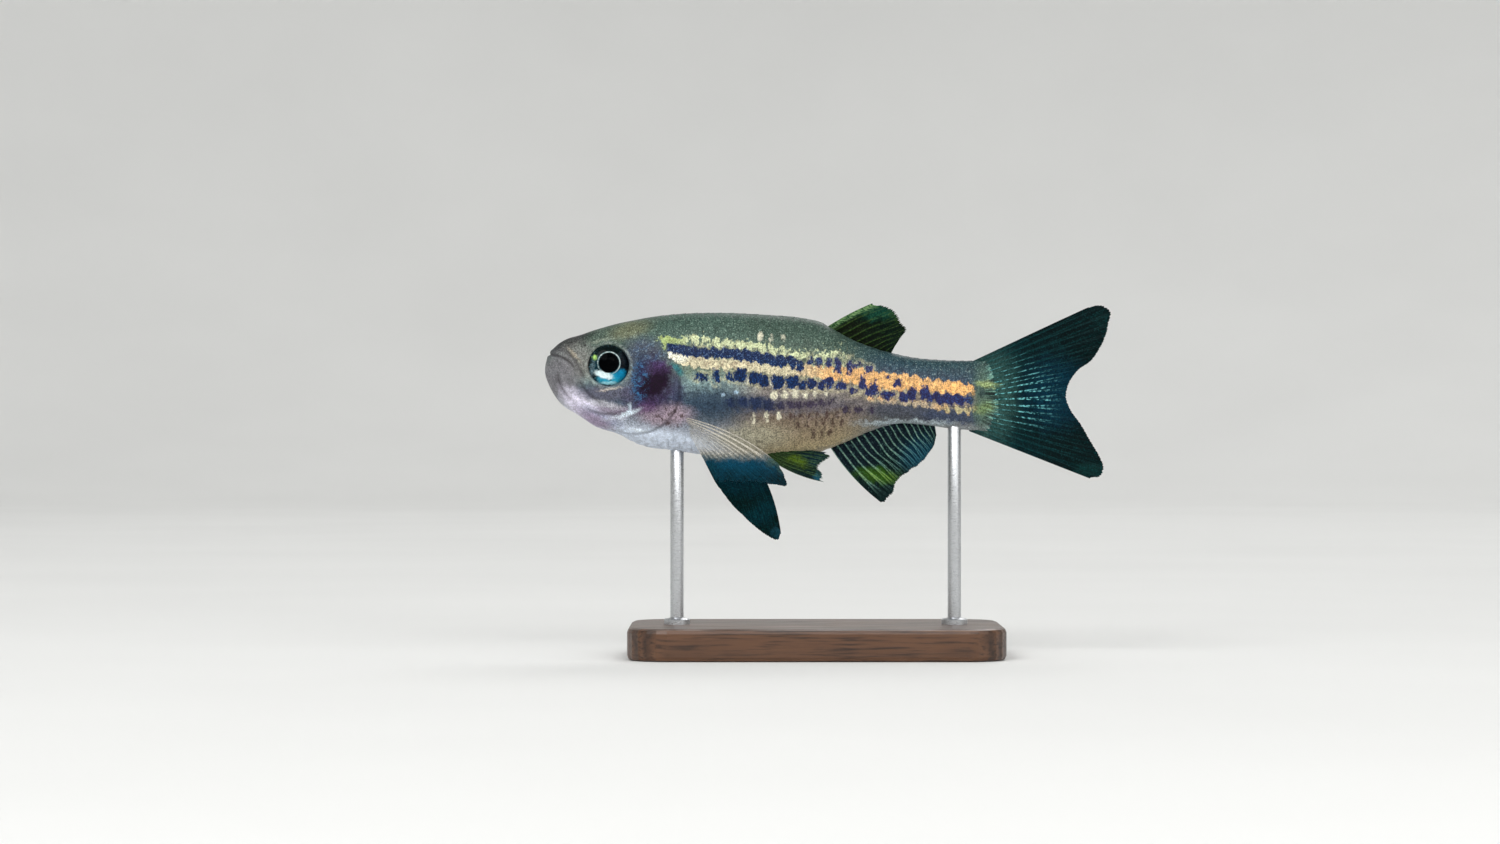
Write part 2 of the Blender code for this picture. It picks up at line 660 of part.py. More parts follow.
fish_frame = bpy.data.objects.new("fish_frame", None)
MODEL.objects.link(fish_frame)
fish_frame.location = (-ORIGIN_X * MM, 0, SNOUT_LEVEL * MM)
fish = [*make_flesh().values(), *make_fins().values(), eye("eye_left", -1), eye("eye_right", 1)]
for obj in fish:
    obj.parent = fish_frame
stand = [make_base(), *(make_rod(f"stand_rod_{word}", station) for word, station in ROD_STATIONS.items())]
for obj in fish + stand:
    finish(obj)
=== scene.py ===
"""The looks of a zebra danio, life size, swimming above a plain display stand.

The fish faces -X and its left flank faces -Y. Its measures are millimetres in the fish's own frame, the ones
that the solids were built from: x runs back from the tip of the snout, y towards the right flank and z up.
"""
import math

import bmesh
import bpy
import numpy as np
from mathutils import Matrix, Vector


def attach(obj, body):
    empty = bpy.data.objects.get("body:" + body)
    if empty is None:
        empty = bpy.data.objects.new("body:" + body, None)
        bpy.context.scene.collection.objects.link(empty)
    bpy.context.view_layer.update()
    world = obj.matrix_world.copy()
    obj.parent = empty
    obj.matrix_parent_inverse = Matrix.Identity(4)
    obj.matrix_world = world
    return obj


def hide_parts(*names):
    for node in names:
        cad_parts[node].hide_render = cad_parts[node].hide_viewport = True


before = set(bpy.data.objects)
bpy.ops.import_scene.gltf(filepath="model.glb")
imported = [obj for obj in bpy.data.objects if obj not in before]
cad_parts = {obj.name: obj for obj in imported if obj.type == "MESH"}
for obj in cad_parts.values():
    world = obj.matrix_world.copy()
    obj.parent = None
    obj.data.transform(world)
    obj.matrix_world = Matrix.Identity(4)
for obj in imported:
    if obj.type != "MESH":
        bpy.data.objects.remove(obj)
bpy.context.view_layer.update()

MM = 0.001
ORIGIN_X = 20.3  # the station of the fish that stands over the middle of the base
SNOUT_LEVEL = 21.3  # height of the snout above the floor
SIDES = ((-1, "left"), (1, "right"))

# The body: its outline in the side view, the level of its greatest width, and half of that width
NOSE_ROUND = 2.2
BACK = ((0.0, 2.45), (2.2, 2.65), (3.9, 3.2), (6.6, 3.88), (9.3, 4.28), (12.9, 4.43), (16.5, 4.28),
        (19.5, 4.0), (20.7, 3.72), (21.8, 3.1), (23.0, 2.45), (24.4, 1.88), (26.0, 1.42), (28.0, 1.03),
        (30.0, 0.88), (35.0, 0.88))
BELLY = ((0.0, -1.75), (0.75, -2.4), (2.2, -3.05), (3.9, -4.12), (5.4, -4.65), (7.2, -5.5),
         (9.3, -5.82), (11.5, -6.14), (14.0, -6.35), (17.0, -6.33), (20.7, -5.95), (22.3, -5.35),
         (24.6, -4.35), (26.3, -3.88), (28.0, -3.92), (30.2, -4.2), (35.0, -4.6))
WIDEST_LEVEL = ((0.0, 0.1), (3.0, -0.3), (8.0, -0.6), (14.0, -0.75), (20.0, -1.1), (26.0, -1.3),
                (30.0, -1.65), (35.0, -1.85))
HALF_WIDTH = ((0.0, 1.45), (1.2, 1.55), (2.6, 1.74), (4.8, 2.12), (7.0, 2.38), (9.5, 2.58),
              (13.5, 2.75), (17.0, 2.68), (20.5, 2.38), (24.0, 1.85), (27.5, 1.36), (30.5, 0.98),
              (32.6, 0.62), (35.0, 0.3))
FULLNESS_ABOVE = 2.3
FULLNESS_BELOW = 2.1
SKIN_END = 34.0
FLESH_OVER_FIN = 0.75  # how far the flesh runs on past the root of the tail fin
TAPER_LENGTH = 1.5
THINNEST_TAIL = 0.09  # half width left at the flesh's end, over the plain body's

# Lines of the side view
MOUTH = ((-0.7, 1.5), (0.35, 1.32), (0.95, 1.2), (1.55, 0.95), (2.1, 0.5), (2.5, -0.15))
UPPER_JAW_REAR = ((1.15, 1.75), (1.75, 1.45), (2.35, 0.75), (2.8, -0.1), (3.0, -0.9))
LOWER_JAW_FOLDS = (((0.95, 0.35), (1.05, -0.6), (1.6, -1.7), (2.5, -2.6)),
                   ((2.5, -0.3), (3.0, -1.3), (3.9, -2.15), (5.2, -2.75)),
                   ((3.0, -2.75), (4.2, -3.15), (5.4, -3.2), (6.4, -3.3)))
GILL_OPENING = ((8.0, 5.2), (8.7, 3.7), (9.35, 2.2), (9.9, 0.7), (10.1, -0.9), (9.95, -2.4), (9.2, -3.7),
                (8.0, -4.4), (6.5, -4.6), (5.3, -4.35), (4.2, -4.0), (3.9, -5.2))
PREOPERCLE = ((7.4, 1.3), (7.0, 0.0), (6.85, -1.5), (6.95, -2.9), (7.4, -4.0))
TAIL_ROOT = ((32.0, 2.2), (32.45, 0.9), (32.95, -0.6), (33.05, -2.0), (32.9, -3.3), (32.5, -4.6),
             (32.2, -6.0))

EYE_X = 4.85
EYE_Z = 0.45
EYE_RADIUS = 1.5
EYE_DEPTH = 0.8
EYE_STANDS_OUT = 0.3
PUPIL = (4.87, 0.64)
PUPIL_RADIUS = 0.74
NOSTRILS = ((2.8, 1.92, 0.08), (3.05, 2.0, 0.11))


def along(points, x):
    """The value at x on a smooth line through (x, value) points."""
    xs, values = np.array(points, float).T
    slopes = np.gradient(values, xs)
    x = np.asarray(x, float)
    i = np.clip(np.searchsorted(xs, x) - 1, 0, len(xs) - 2)
    step = xs[i + 1] - xs[i]
    t = np.clip((x - xs[i]) / step, 0, 1)
    return (values[i] * (1 + 2 * t) * (1 - t) ** 2 + slopes[i] * step * t * (1 - t) ** 2
            + values[i + 1] * t * t * (3 - 2 * t) - slopes[i + 1] * step * t * t * (1 - t))


def path(points, shares):
    """Points at these shares of the length of a smooth line through the given points."""
    points = np.array(points, float)
    steps = np.linalg.norm(np.diff(points, axis=0), axis=1)
    reach = np.concatenate([[0], np.cumsum(steps)]) / steps.sum()
    return np.stack([along(np.stack([reach, axis], 1), shares) for axis in points.T], -1)


def line_x(line, z):
    """The x of a line of the side view at the level z. The line runs downwards."""
    return along(np.array(line)[::-1, ::-1], z)


def smooth(value, low, high):
    """0 below low, 1 above high, and a smooth step between them."""
    t = np.clip((np.asarray(value, float) - low) / (high - low), 0, 1)
    return t * t * (3 - 2 * t)


def bell(value, width):
    return np.exp(-(value / width) ** 2)


def section(x):
    """The body's top, bottom, widest level and half width at x."""
    nose = np.sqrt(1 - (1 - np.clip(np.asarray(x, float) / NOSE_ROUND, 0, 1)) ** 2)
    middle = along(WIDEST_LEVEL, x)
    top = middle + (along(BACK, x) - middle) * nose
    bottom = middle + (along(BELLY, x) - middle) * nose
    return top, bottom, middle, along(HALF_WIDTH, x) * nose


def half_width(x, z):
    """Half of the body's width at a point of the side view, 0 outside the outline."""
    top, bottom, middle, wide = section(x)
    above = z > middle
    height = np.where(above, top - middle, middle - bottom)
    full = np.where(above, FULLNESS_ABOVE, FULLNESS_BELOW)
    share = np.clip(np.abs(z - middle) / np.maximum(height, 1e-6), 0, 1)
    return wide * (1 - share ** full) ** (1 / full)


def ring_point(x, angle):
    """Points of the right side of the body's section at x. The angle is 0 at the widest level."""
    top, bottom, middle, wide = section(x)
    up = np.sin(angle)
    full = np.where(up > 0, FULLNESS_ABOVE, FULLNESS_BELOW)
    height = np.where(up > 0, top - middle, middle - bottom)
    y = wide * np.abs(np.cos(angle)) ** (2 / full)
    z = middle + height * np.sign(up) * np.abs(up) ** (2 / full)
    return np.stack(np.broadcast_arrays(x, y, z), -1)


TABLE_X = np.linspace(0.002, 35.0, 351)
TABLE_SHARE = np.linspace(0, 1, 61)


def arc_table(sign):
    """For every TABLE_X, the angles at TABLE_SHARE of the arc from the widest level, and its length."""
    angles = np.linspace(0, math.pi / 2, 241)
    points = ring_point(TABLE_X[:, None], sign * angles)
    steps = np.linalg.norm(np.diff(points, axis=1), axis=2)
    reach = np.concatenate([np.zeros((len(TABLE_X), 1)), np.cumsum(steps, axis=1)], axis=1)
    lengths = reach[:, -1]
    rows = [np.interp(TABLE_SHARE, row / length, angles) for row, length in zip(reach, lengths)]
    return np.array(rows), lengths


ARCS = {1: arc_table(1), -1: arc_table(-1)}


def angle_at(x, height):
    """The ring's angle at a height, a share of the arc: 1 at the back, 0 at the widest level, -1 below."""
    i = np.clip((x - TABLE_X[0]) / (TABLE_X[1] - TABLE_X[0]), 0, len(TABLE_X) - 1.001)
    j = np.clip(np.abs(height), 0, 1) * (len(TABLE_SHARE) - 1)
    j = np.minimum(j, len(TABLE_SHARE) - 1.001)
    i0, j0 = i.astype(int), j.astype(int)
    i1, j1 = i - i0, j - j0

    def read(table):
        return ((table[i0, j0] * (1 - j1) + table[i0, j0 + 1] * j1) * (1 - i1)
                + (table[i0 + 1, j0] * (1 - j1) + table[i0 + 1, j0 + 1] * j1) * i1)

    return np.where(height > 0, read(ARCS[1][0]), -read(ARCS[-1][0]))


def arc_length(x, above):
    """The length of the body's arc from the widest level up to the back, or down to the belly."""
    return np.where(above, np.interp(x, TABLE_X, ARCS[1][1]), np.interp(x, TABLE_X, ARCS[-1][1]))


def tail_taper(x, z):
    """The flesh thins out over the root of the tail fin."""
    end = line_x(TAIL_ROOT, z) + FLESH_OVER_FIN
    return np.maximum(np.sqrt(np.clip((end - x) / TAPER_LENGTH, 0, 1)), THINNEST_TAIL)


def surface(x, height, side):
    """Points of the plain body. A height past 1 or -1 runs on down the other side."""
    x, height, side = np.broadcast_arrays(np.asarray(x, float), height, side)
    over = np.abs(height) > 1
    turned = np.where(over, np.sign(height) * 2 - height, height)
    points = ring_point(x, angle_at(x, turned))
    points[..., 1] *= np.where(over, -side, side) * tail_taper(x, points[..., 2])
    return points


def surface_normal(x, height, side):
    step = 0.02
    lengthwise = surface(x + step, height, side) - surface(np.maximum(x - step, 0.002), height, side)
    upwards = surface(x, height + step, side) - surface(x, height - step, side)
    normal = np.cross(lengthwise, upwards) * -np.asarray(side)[..., None]
    return normal / np.maximum(np.linalg.norm(normal, axis=-1, keepdims=True), 1e-12)


def distance_to(line, x, z, samples=90):
    """The distance to a line of the side view, the share of its length, and on which side the point is."""
    middle = path(line, np.linspace(0, 1, samples))
    run = np.gradient(middle, axis=0)
    gap_x = x[..., None] - middle[:, 0]
    gap_z = z[..., None] - middle[:, 1]
    gaps = gap_x ** 2 + gap_z ** 2
    nearest = gaps.argmin(-1)
    pick = np.take_along_axis
    cross = (run[nearest, 0] * pick(gap_z, nearest[..., None], -1)[..., 0]
             - run[nearest, 1] * pick(gap_x, nearest[..., None], -1)[..., 0])
    return np.sqrt(gaps.min(-1)), nearest / (samples - 1), np.sign(cross)


# Markings, as spots of (x, z, half length, half height) and bands of (x, z, half height)
UPPER_BAND = ((9.2, 1.8, 0.26), (10.2, 1.62, 0.35), (11.3, 1.44, 0.37), (12.4, 1.38, 0.34),
              (13.8, 1.34, 0.36), (15.0, 1.2, 0.42), (16.2, 1.04, 0.4), (17.5, 0.77, 0.42),
              (18.4, 0.74, 0.36), (19.1, 0.6, 0.24))
UPPER_SPOTS = ((19.1, 0.3, 0.25, 0.4), (19.85, 0.85, 0.22, 0.3), (20.5, 0.65, 0.28, 0.36),
               (21.25, 0.65, 0.27, 0.36), (21.9, 0.45, 0.26, 0.6), (22.8, 0.4, 0.22, 0.5),
               (23.5, 0.55, 0.22, 0.2), (24.2, 0.2, 0.28, 0.26), (25.6, -0.4, 0.15, 0.12), (26.4, -0.85, 0.33, 0.3))
MIDDLE_SPOTS = ((11.7, -0.4, 0.4, 0.26), (12.9, -0.3, 0.27, 0.5), (13.75, -0.25, 0.16, 0.28),
                (14.6, -0.3, 0.54, 0.46), (15.7, -0.45, 0.5, 0.44), (16.4, -0.7, 0.44, 0.44),
                (17.4, -0.8, 0.52, 0.54), (18.5, -0.8, 0.5, 0.46), (19.25, -1.0, 0.34, 0.38),
                (20.0, -0.9, 0.29, 0.38), (20.7, -1.0, 0.29, 0.35), (21.35, -0.85, 0.3, 0.4),
                (22.2, -1.1, 0.36, 0.3), (23.05, -1.45, 0.22, 0.22), (23.75, -0.85, 0.26, 0.55),
                (24.6, -1.3, 0.3, 0.55), (24.1, -1.55, 0.25, 0.25), (25.6, -1.75, 0.45, 0.32),
                (26.85, -1.9, 0.36, 0.36), (27.5, -1.65, 0.3, 0.5), (28.45, -1.6, 0.36, 0.52))
REAR_BAND = ((28.6, -1.85, 0.3), (29.6, -2.0, 0.34), (31.0, -2.08, 0.36), (32.35, -2.15, 0.18))
LOWER_SPOTS = ((13.9, -2.3, 0.3, 0.3), (14.9, -2.25, 0.4, 0.34), (15.85, -2.35, 0.45, 0.44),
               (16.75, -2.5, 0.38, 0.44), (17.6, -2.55, 0.3, 0.34), (18.35, -2.5, 0.3, 0.3),
               (19.1, -2.5, 0.3, 0.27), (19.9, -2.4, 0.32, 0.28), (20.7, -2.3, 0.34, 0.26),
               (21.4, -2.2, 0.28, 0.24), (22.5, -2.8, 0.27, 0.32), (23.4, -2.85, 0.34, 0.2),
               (24.4, -2.9, 0.3, 0.16))
PALE_BAND = ((9.3, 1.3, 0.34), (10.4, 1.0, 0.44), (12.1, 0.62, 0.42), (14.6, 0.52, 0.44), (16.3, 0.36, 0.42),
             (18.0, 0.03, 0.4), (19.6, 0.1, 0.45), (21.3, -0.06, 0.5), (23.6, -0.35, 0.62),
             (25.3, -0.72, 0.62), (27.0, -0.8, 0.6), (28.6, -1.0, 0.5), (30.0, -1.15, 0.42),
             (31.2, -1.27, 0.48), (32.25, -1.32, 0.22))
LOWER_PALE_BAND = ((23.9, -1.95, 0.1), (25.6, -2.15, 0.16), (27.8, -2.35, 0.2), (29.6, -2.68, 0.2),
                   (31.0, -2.85, 0.24), (32.2, -2.82, 0.2), (32.8, -2.8, 0.1))
LIME_BAND = ((8.5, 2.55, 0.14), (9.3, 2.32, 0.2), (11.1, 2.38, 0.2), (14.1, 2.05, 0.25), (16.3, 1.78, 0.32),
             (18.8, 1.35, 0.2), (21.3, 1.25, 0.17), (23.2, 0.98, 0.12))
LIME_SPOTS = ((9.05, 2.1, 0.13, 0.32), (10.4, 2.05, 0.12, 0.25), (11.9, 2.0, 0.12, 0.3),
              (13.0, 1.85, 0.16, 0.3), (14.1, 1.75, 0.14, 0.28), (15.3, 1.7, 0.12, 0.3),
              (16.9, 1.45, 0.12, 0.32), (18.1, 1.2, 0.1, 0.3), (19.1, 1.1, 0.1, 0.35),
              (20.05, 0.75, 0.08, 0.4), (20.88, 0.7, 0.08, 0.42), (21.6, 0.75, 0.07, 0.4),
              (22.35, 0.55, 0.09, 0.55), (23.2, 0.5, 0.08, 0.45))
DASHES = ((17.15, -1.75, 0.28, 0.34), (17.95, -1.7, 0.24, 0.3), (18.75, -1.65, 0.25, 0.34),
          (19.5, -1.75, 0.18, 0.34), (20.2, -1.65, 0.18, 0.28), (21.0, -1.7, 0.14, 0.24),
          (15.6, -3.6, 0.17, 0.38), (16.6, -3.4, 0.19, 0.36), (17.55, -3.3, 0.16, 0.34),
          (14.3, -1.55, 0.2, 0.16), (13.35, -1.75, 0.15, 0.14), (16.15, 2.6, 0.17, 0.34), (16.95, 2.5, 0.17, 0.28),
          (17.85, 2.5, 0.17, 0.3), (16.95, -0.75, 0.09, 0.34), (15.15, -0.8, 0.1, 0.38))
BROWN_BARS = tuple((x + 0.66 * i, z + 0.02 * i, 0.15, 0.27)
                   for x, z, bars in ((18.5, -3.3, 6), (18.9, -3.95, 6), (20.0, -4.6, 3))
                   for i in range(bars))
GILL_DOTS = tuple((x, z, 0.12, 0.11) for x, z in (
    (8.5, -3.3), (8.95, -3.55), (9.1, -2.85), (9.4, -3.2), (9.75, -3.55), (9.8, -2.95), (10.25, -3.3),
    (10.0, -3.95), (9.3, -3.9)))
MARKINGS = {
    "dark": ((UPPER_BAND, REAR_BAND), (UPPER_SPOTS, MIDDLE_SPOTS)),
    "dusky": ((), (LOWER_SPOTS,)),
    "brown": ((), (BROWN_BARS, GILL_DOTS)),
    "pale": ((PALE_BAND, LOWER_PALE_BAND), ()),
    "lime": ((LIME_BAND,), (LIME_SPOTS,)),
    "bright": ((), (DASHES,)),
}
SPOT_POWER = 2.7  # 2 would make the spots ovals, and more makes them squarer
TOOTH_HEIGHT = 0.12
TOOTH_PITCH = 0.78
RIGHT_FLANK_SHIFT = 0.39  # how far back the markings of the right flank lie


def spot_field(spots, x, z):
    """Roughly the distance inside the nearest edge of any of these spots, negative outside them."""
    field = np.full(np.shape(x), -9.0)
    for spot_x, spot_z, half_x, half_z in spots:
        sides = np.abs((x - spot_x) / half_x) ** SPOT_POWER + np.abs((z - spot_z) / half_z) ** SPOT_POWER
        off = sides ** (1 / SPOT_POWER)
        field = np.maximum(field, (1 - off) * min(half_x, half_z))
    return field


def band_field(band, x, z):
    """The same for a band along the flank."""
    band = np.array(band)
    inside = along(band[:, (0, 2)], x) - np.abs(z - along(band[:, (0, 1)], x))
    return np.minimum(inside, np.minimum(x - band[0, 0], band[-1, 0] - x))


def marking_fields(points):
    """The fields of all the markings at points of the body. Bands have teeth at the pitch of the scales."""
    x = points[..., 0] - np.where(points[..., 1] > 0, RIGHT_FLANK_SHIFT, 0)
    z = points[..., 2]
    tooth = TOOTH_HEIGHT * np.cos(2 * math.pi * (x + 0.3 * z) / TOOTH_PITCH) * smooth(x, 9.5, 12)
    fields = {}
    for name, (bands, spot_groups) in MARKINGS.items():
        parts = [band_field(band, x, z) + tooth * (1 if name == "dark" else -1) for band in bands]
        parts += [spot_field(spots, x, z) for spots in spot_groups]
        fields[name] = np.max(parts, axis=0)
    return fields


# Mesh making


def to_metres(points):
    points = np.asarray(points, float)
    return (points - (ORIGIN_X, 0, -SNOUT_LEVEL)) * MM


def new_piece(name, vertices, faces, attributes=None, uvs=None):
    """A mesh object from arrays. vertices are in metres, and uvs has a row for each face corner."""
    mesh = bpy.data.meshes.new(name)
    faces = np.asarray(faces, np.int32)
    mesh.vertices.add(len(vertices))
    mesh.vertices.foreach_set("co", np.asarray(vertices, np.float32).ravel())
    mesh.loops.add(faces.size)
    mesh.loops.foreach_set("vertex_index", faces.ravel())
    mesh.polygons.add(len(faces))
    corners = faces.shape[1]
    mesh.polygons.foreach_set("loop_start", np.arange(0, faces.size, corners, dtype=np.int32))
    mesh.polygons.foreach_set("loop_total", np.full(len(faces), corners, np.int32))
    if uvs is not None:
        layer = mesh.uv_layers.new(name="OFBake")
        layer.data.foreach_set("uv", np.asarray(uvs, np.float32).ravel())
    for key, values in (attributes or {}).items():
        made = mesh.attributes.new(key, "FLOAT", "POINT")
        made.data.foreach_set("value", np.asarray(values, np.float32).ravel())
    mesh.update(calc_edges=True)
    mesh.validate()
    mesh.shade_smooth()
    piece = bpy.data.objects.new(name, mesh)
    bpy.context.scene.collection.objects.link(piece)
    return piece


def grid_faces(rows, columns, closed=False):
    """Quads between the points of a grid, with the last column joined to the first if closed."""
    a = np.arange(rows - 1)[:, None] * columns
    j = np.arange(columns if closed else columns - 1)[None, :]
    after = (j + 1) % columns
    return np.stack([a + j, a + after, a + columns + after, a + columns + j], -1).reshape(-1, 4)


def capped_faces(rings, spokes):
    """Triangles of rings of points whose ends are closed by one point each, which come after the rings."""
    quads = grid_faces(rings, spokes, closed=True)
    count = rings * spokes
    first = np.arange(spokes)
    after = (first + 1) % spokes
    last = count - spokes
    return np.concatenate([
        quads[:, (0, 1, 2)], quads[:, (0, 2, 3)],
        np.stack([after, first, np.full(spokes, count)], -1),
        np.stack([last + first, last + after, np.full(spokes, count + 1)], -1)])


def turned(profile, spokes):
    """Rings of points from (radius, height) pairs, turned about the vertical."""
    radii, levels = np.array(profile, float).T[:, :, None]
    angles = np.linspace(0, 2 * math.pi, spokes, endpoint=False)
    rings = np.broadcast_arrays(radii * np.cos(angles), radii * np.sin(angles), levels)
    return np.stack(rings, -1).reshape(-1, 3)


# Skin


def line_ends(share, start, end):
    """Fades a line in and out over these parts of its length."""
    return smooth(share, 0, start) * (1 - smooth(share, 1 - end, 1.0))


# Grooves of the head: their line, the shares of it over which they start and end, the raised rim's height,
# distance and width, the groove's depth and width, and the strength and width of the painted shade in it
GROOVES = (
    (MOUTH, 0.4, 0.25, (0.06, 0.25, 0.17), (0.12, 0.09), 0.6, 0.1),
    (UPPER_JAW_REAR, 0.2, 0.25, (0.06, 0.2, 0.2), (0.06, 0.1), 0.5, 0.13),
    *((fold, 0.25, 0.35, (0.05, 0.24, 0.16), (0.08, 0.1), 0.42, 0.13) for fold in LOWER_JAW_FOLDS),
    (PREOPERCLE, 0.25, 0.25, (0.04, 0.15, 0.16), (0.06, 0.09), 0.25, 0.1),
)


def head_relief(x, z):
    """How far the skin of the head stands out from the plain body, in mm, and how strong the painted shade in its
    creases is.
    """
    out = np.zeros_like(x)
    crease_shade = np.zeros_like(x)

    for line, start, end, rim, groove, strength, width in GROOVES:
        gap, share, _ = distance_to(line, x, z)
        ends = line_ends(share, start, end)
        rim_height, rim_off, rim_width = rim
        depth, groove_width = groove
        out += ends * (rim_height * bell(gap - rim_off, rim_width) - depth * bell(gap, groove_width))
        crease_shade += strength * ends * bell(gap, width)

    gap, share, turn = distance_to(GILL_OPENING, x, z, 160)
    ahead = gap * -turn
    ends = smooth(share, 0.12, 0.3) * (1 - smooth(share, 0.84, 0.97))
    plate = 0.1 * smooth(ahead, -0.05, 0.12) * (1 - smooth(ahead, 0.5, 2.4))
    out += ends * (plate - 0.09 * bell(ahead + 0.1, 0.12))
    crease_shade += 0.28 * ends * bell(ahead + 0.08, 0.1)
    for drop in (0.36, 0.66, 0.96):
        low_ends = smooth(share, 0.62, 0.7) * (1 - smooth(share, 0.82, 0.92))
        out -= 0.04 * low_ends * bell(ahead + drop, 0.08)
        crease_shade += 0.15 * low_ends * bell(ahead + drop, 0.09)

    # The eye's socket and the nostrils: sunk hollows with painted shade in them
    off = np.hypot(x - EYE_X, z - EYE_Z)
    out += 0.1 * bell(off - 1.7, 0.18) - 0.8 * (1 - smooth(off, 1.36, 1.56))
    crease_shade += 0.5 * (1 - smooth(off, 1.48, 1.6))
    for nostril_x, nostril_z, radius in NOSTRILS:
        off = np.hypot(x - nostril_x, z - nostril_z)
        out += 0.03 * bell(off - radius - 0.04, 0.05) - 0.12 * (1 - smooth(off, radius * 0.5, radius))
        crease_shade += 0.6 * (1 - smooth(off, radius * 0.5, radius))
    return out, np.clip(crease_shade, 0, 0.9)


def skin_stations():
    """Where the skin has its rings: close together on the snout and the head."""
    nose = NOSE_ROUND * (1 - np.cos(np.linspace(0.03, math.pi / 2, 70)))
    head = np.arange(NOSE_ROUND + 0.05, 10.6, 0.05)
    body = np.linspace(10.65, 31.5, 200)
    tail = np.linspace(31.55, SKIN_END, 40)
    return np.concatenate([nose, head, body, tail])


HALF_RING = 100
UV_LENGTH = 0.96 / 35.0


def skin_uv(x, height, side):
    """The unwrap of the skin: the left flank in the lower half of the map, the right one in the upper."""
    across = 0.25 + 0.5 * (np.asarray(side) > 0) + 0.23 * np.clip(height, -1, 1)
    return np.stack(np.broadcast_arrays(0.02 + UV_LENGTH * x, across), -1)


def make_skin():
    """One closed skin over the whole body, with the relief of the head."""
    xs = skin_stations()
    upwards = np.linspace(-1, 1, HALF_RING + 1)
    heights = np.concatenate([upwards, upwards[-2:0:-1]])
    sides = np.concatenate([np.full(HALF_RING + 1, -1.0), np.full(HALF_RING - 1, 1.0)])
    columns = len(heights)
    grid_x = np.repeat(xs[:, None], columns, 1)
    grid_height = np.repeat(heights[None], len(xs), 0)
    grid_side = np.repeat(sides[None], len(xs), 0)
    points = surface(grid_x, grid_height, grid_side)
    normals = surface_normal(grid_x, grid_height, grid_side)

    relief = np.zeros_like(grid_x)
    crease_shade = np.zeros_like(grid_x)
    head = xs < 11.5
    relief[head], crease_shade[head] = head_relief(points[head][..., 0], points[head][..., 2])
    ripple = 0.012 * np.sin(points[..., 0] * 2.1) * np.sin(points[..., 2] * 2.6 + 1)
    relief += ripple * smooth(points[..., 0], 2, 5)
    fade = np.sqrt(np.clip(points[..., 0] / 0.25, 0, 1))
    points = points + normals * (relief * fade)[..., None]

    tip = np.array([[0.0, 0.0, float(along(WIDEST_LEVEL, 0))]])
    end = points[-1].mean(0, keepdims=True)
    vertices = np.concatenate([points.reshape(-1, 3), tip, end])
    faces = capped_faces(len(xs), columns)

    corner_x = np.concatenate([grid_x.ravel(), [0.0, SKIN_END]])[faces]
    corner_height = np.concatenate([grid_height.ravel(), [0.0, 0.0]])[faces]
    face_side = np.sign((vertices[faces][:, :, 1]).mean(1))[:, None]
    uvs = skin_uv(corner_x, corner_height, face_side)

    fields = marking_fields(vertices)
    fields["height"] = np.concatenate([grid_height.ravel(), [0.0, 0.0]])
    fields["crease_shade"] = np.concatenate([crease_shade.ravel(), [0.0, 0.0]])
    return new_piece("skin", to_metres(vertices), faces, fields, uvs)


# Scales

SCALE_PITCH = ((8.0, 0.82), (12.0, 0.9), (20.0, 0.88), (26.0, 0.74), (33.0, 0.62))
ROW_SPACING = 1.02  # of two rows along the flank, over the pitch
SCALE_ROOT_SUNK = 0.05
SCALE_EDGE_HEIGHT = 0.03
# Where a scale has its points, from one edge to the other: close together at the rim
SCALE_STEPS = np.array((-1, -0.94, -0.8, -0.45, 0, 0.45, 0.8, 0.94, 1))
NAPE = ((7.9, 5.0), (8.35, 3.7), (9.1, 2.5), (9.75, 1.0), (10.3, -0.6), (10.35, -2.4), (9.9, -3.7),
        (8.9, -4.5), (8.0, -5.0), (7.2, -6.5))


def scale_places():
    """x, height, side and pitch of every scale, in rows along the flank, each half a scale off the next."""
    places = []
    for side in (-1, 1):
        for row in range(-14, 15):
            x = 8.0 + 0.41 * (row % 2)
            while x < 32.5:
                pitch = float(along(SCALE_PITCH, x))
                length = float(arc_length(x, row >= 0))
                height = row * pitch * ROW_SPACING / length
                if abs(height) < 1 + 0.02 * (row % 2):
                    places.append((x, height, side, pitch))
                x += pitch
    return np.array(places)


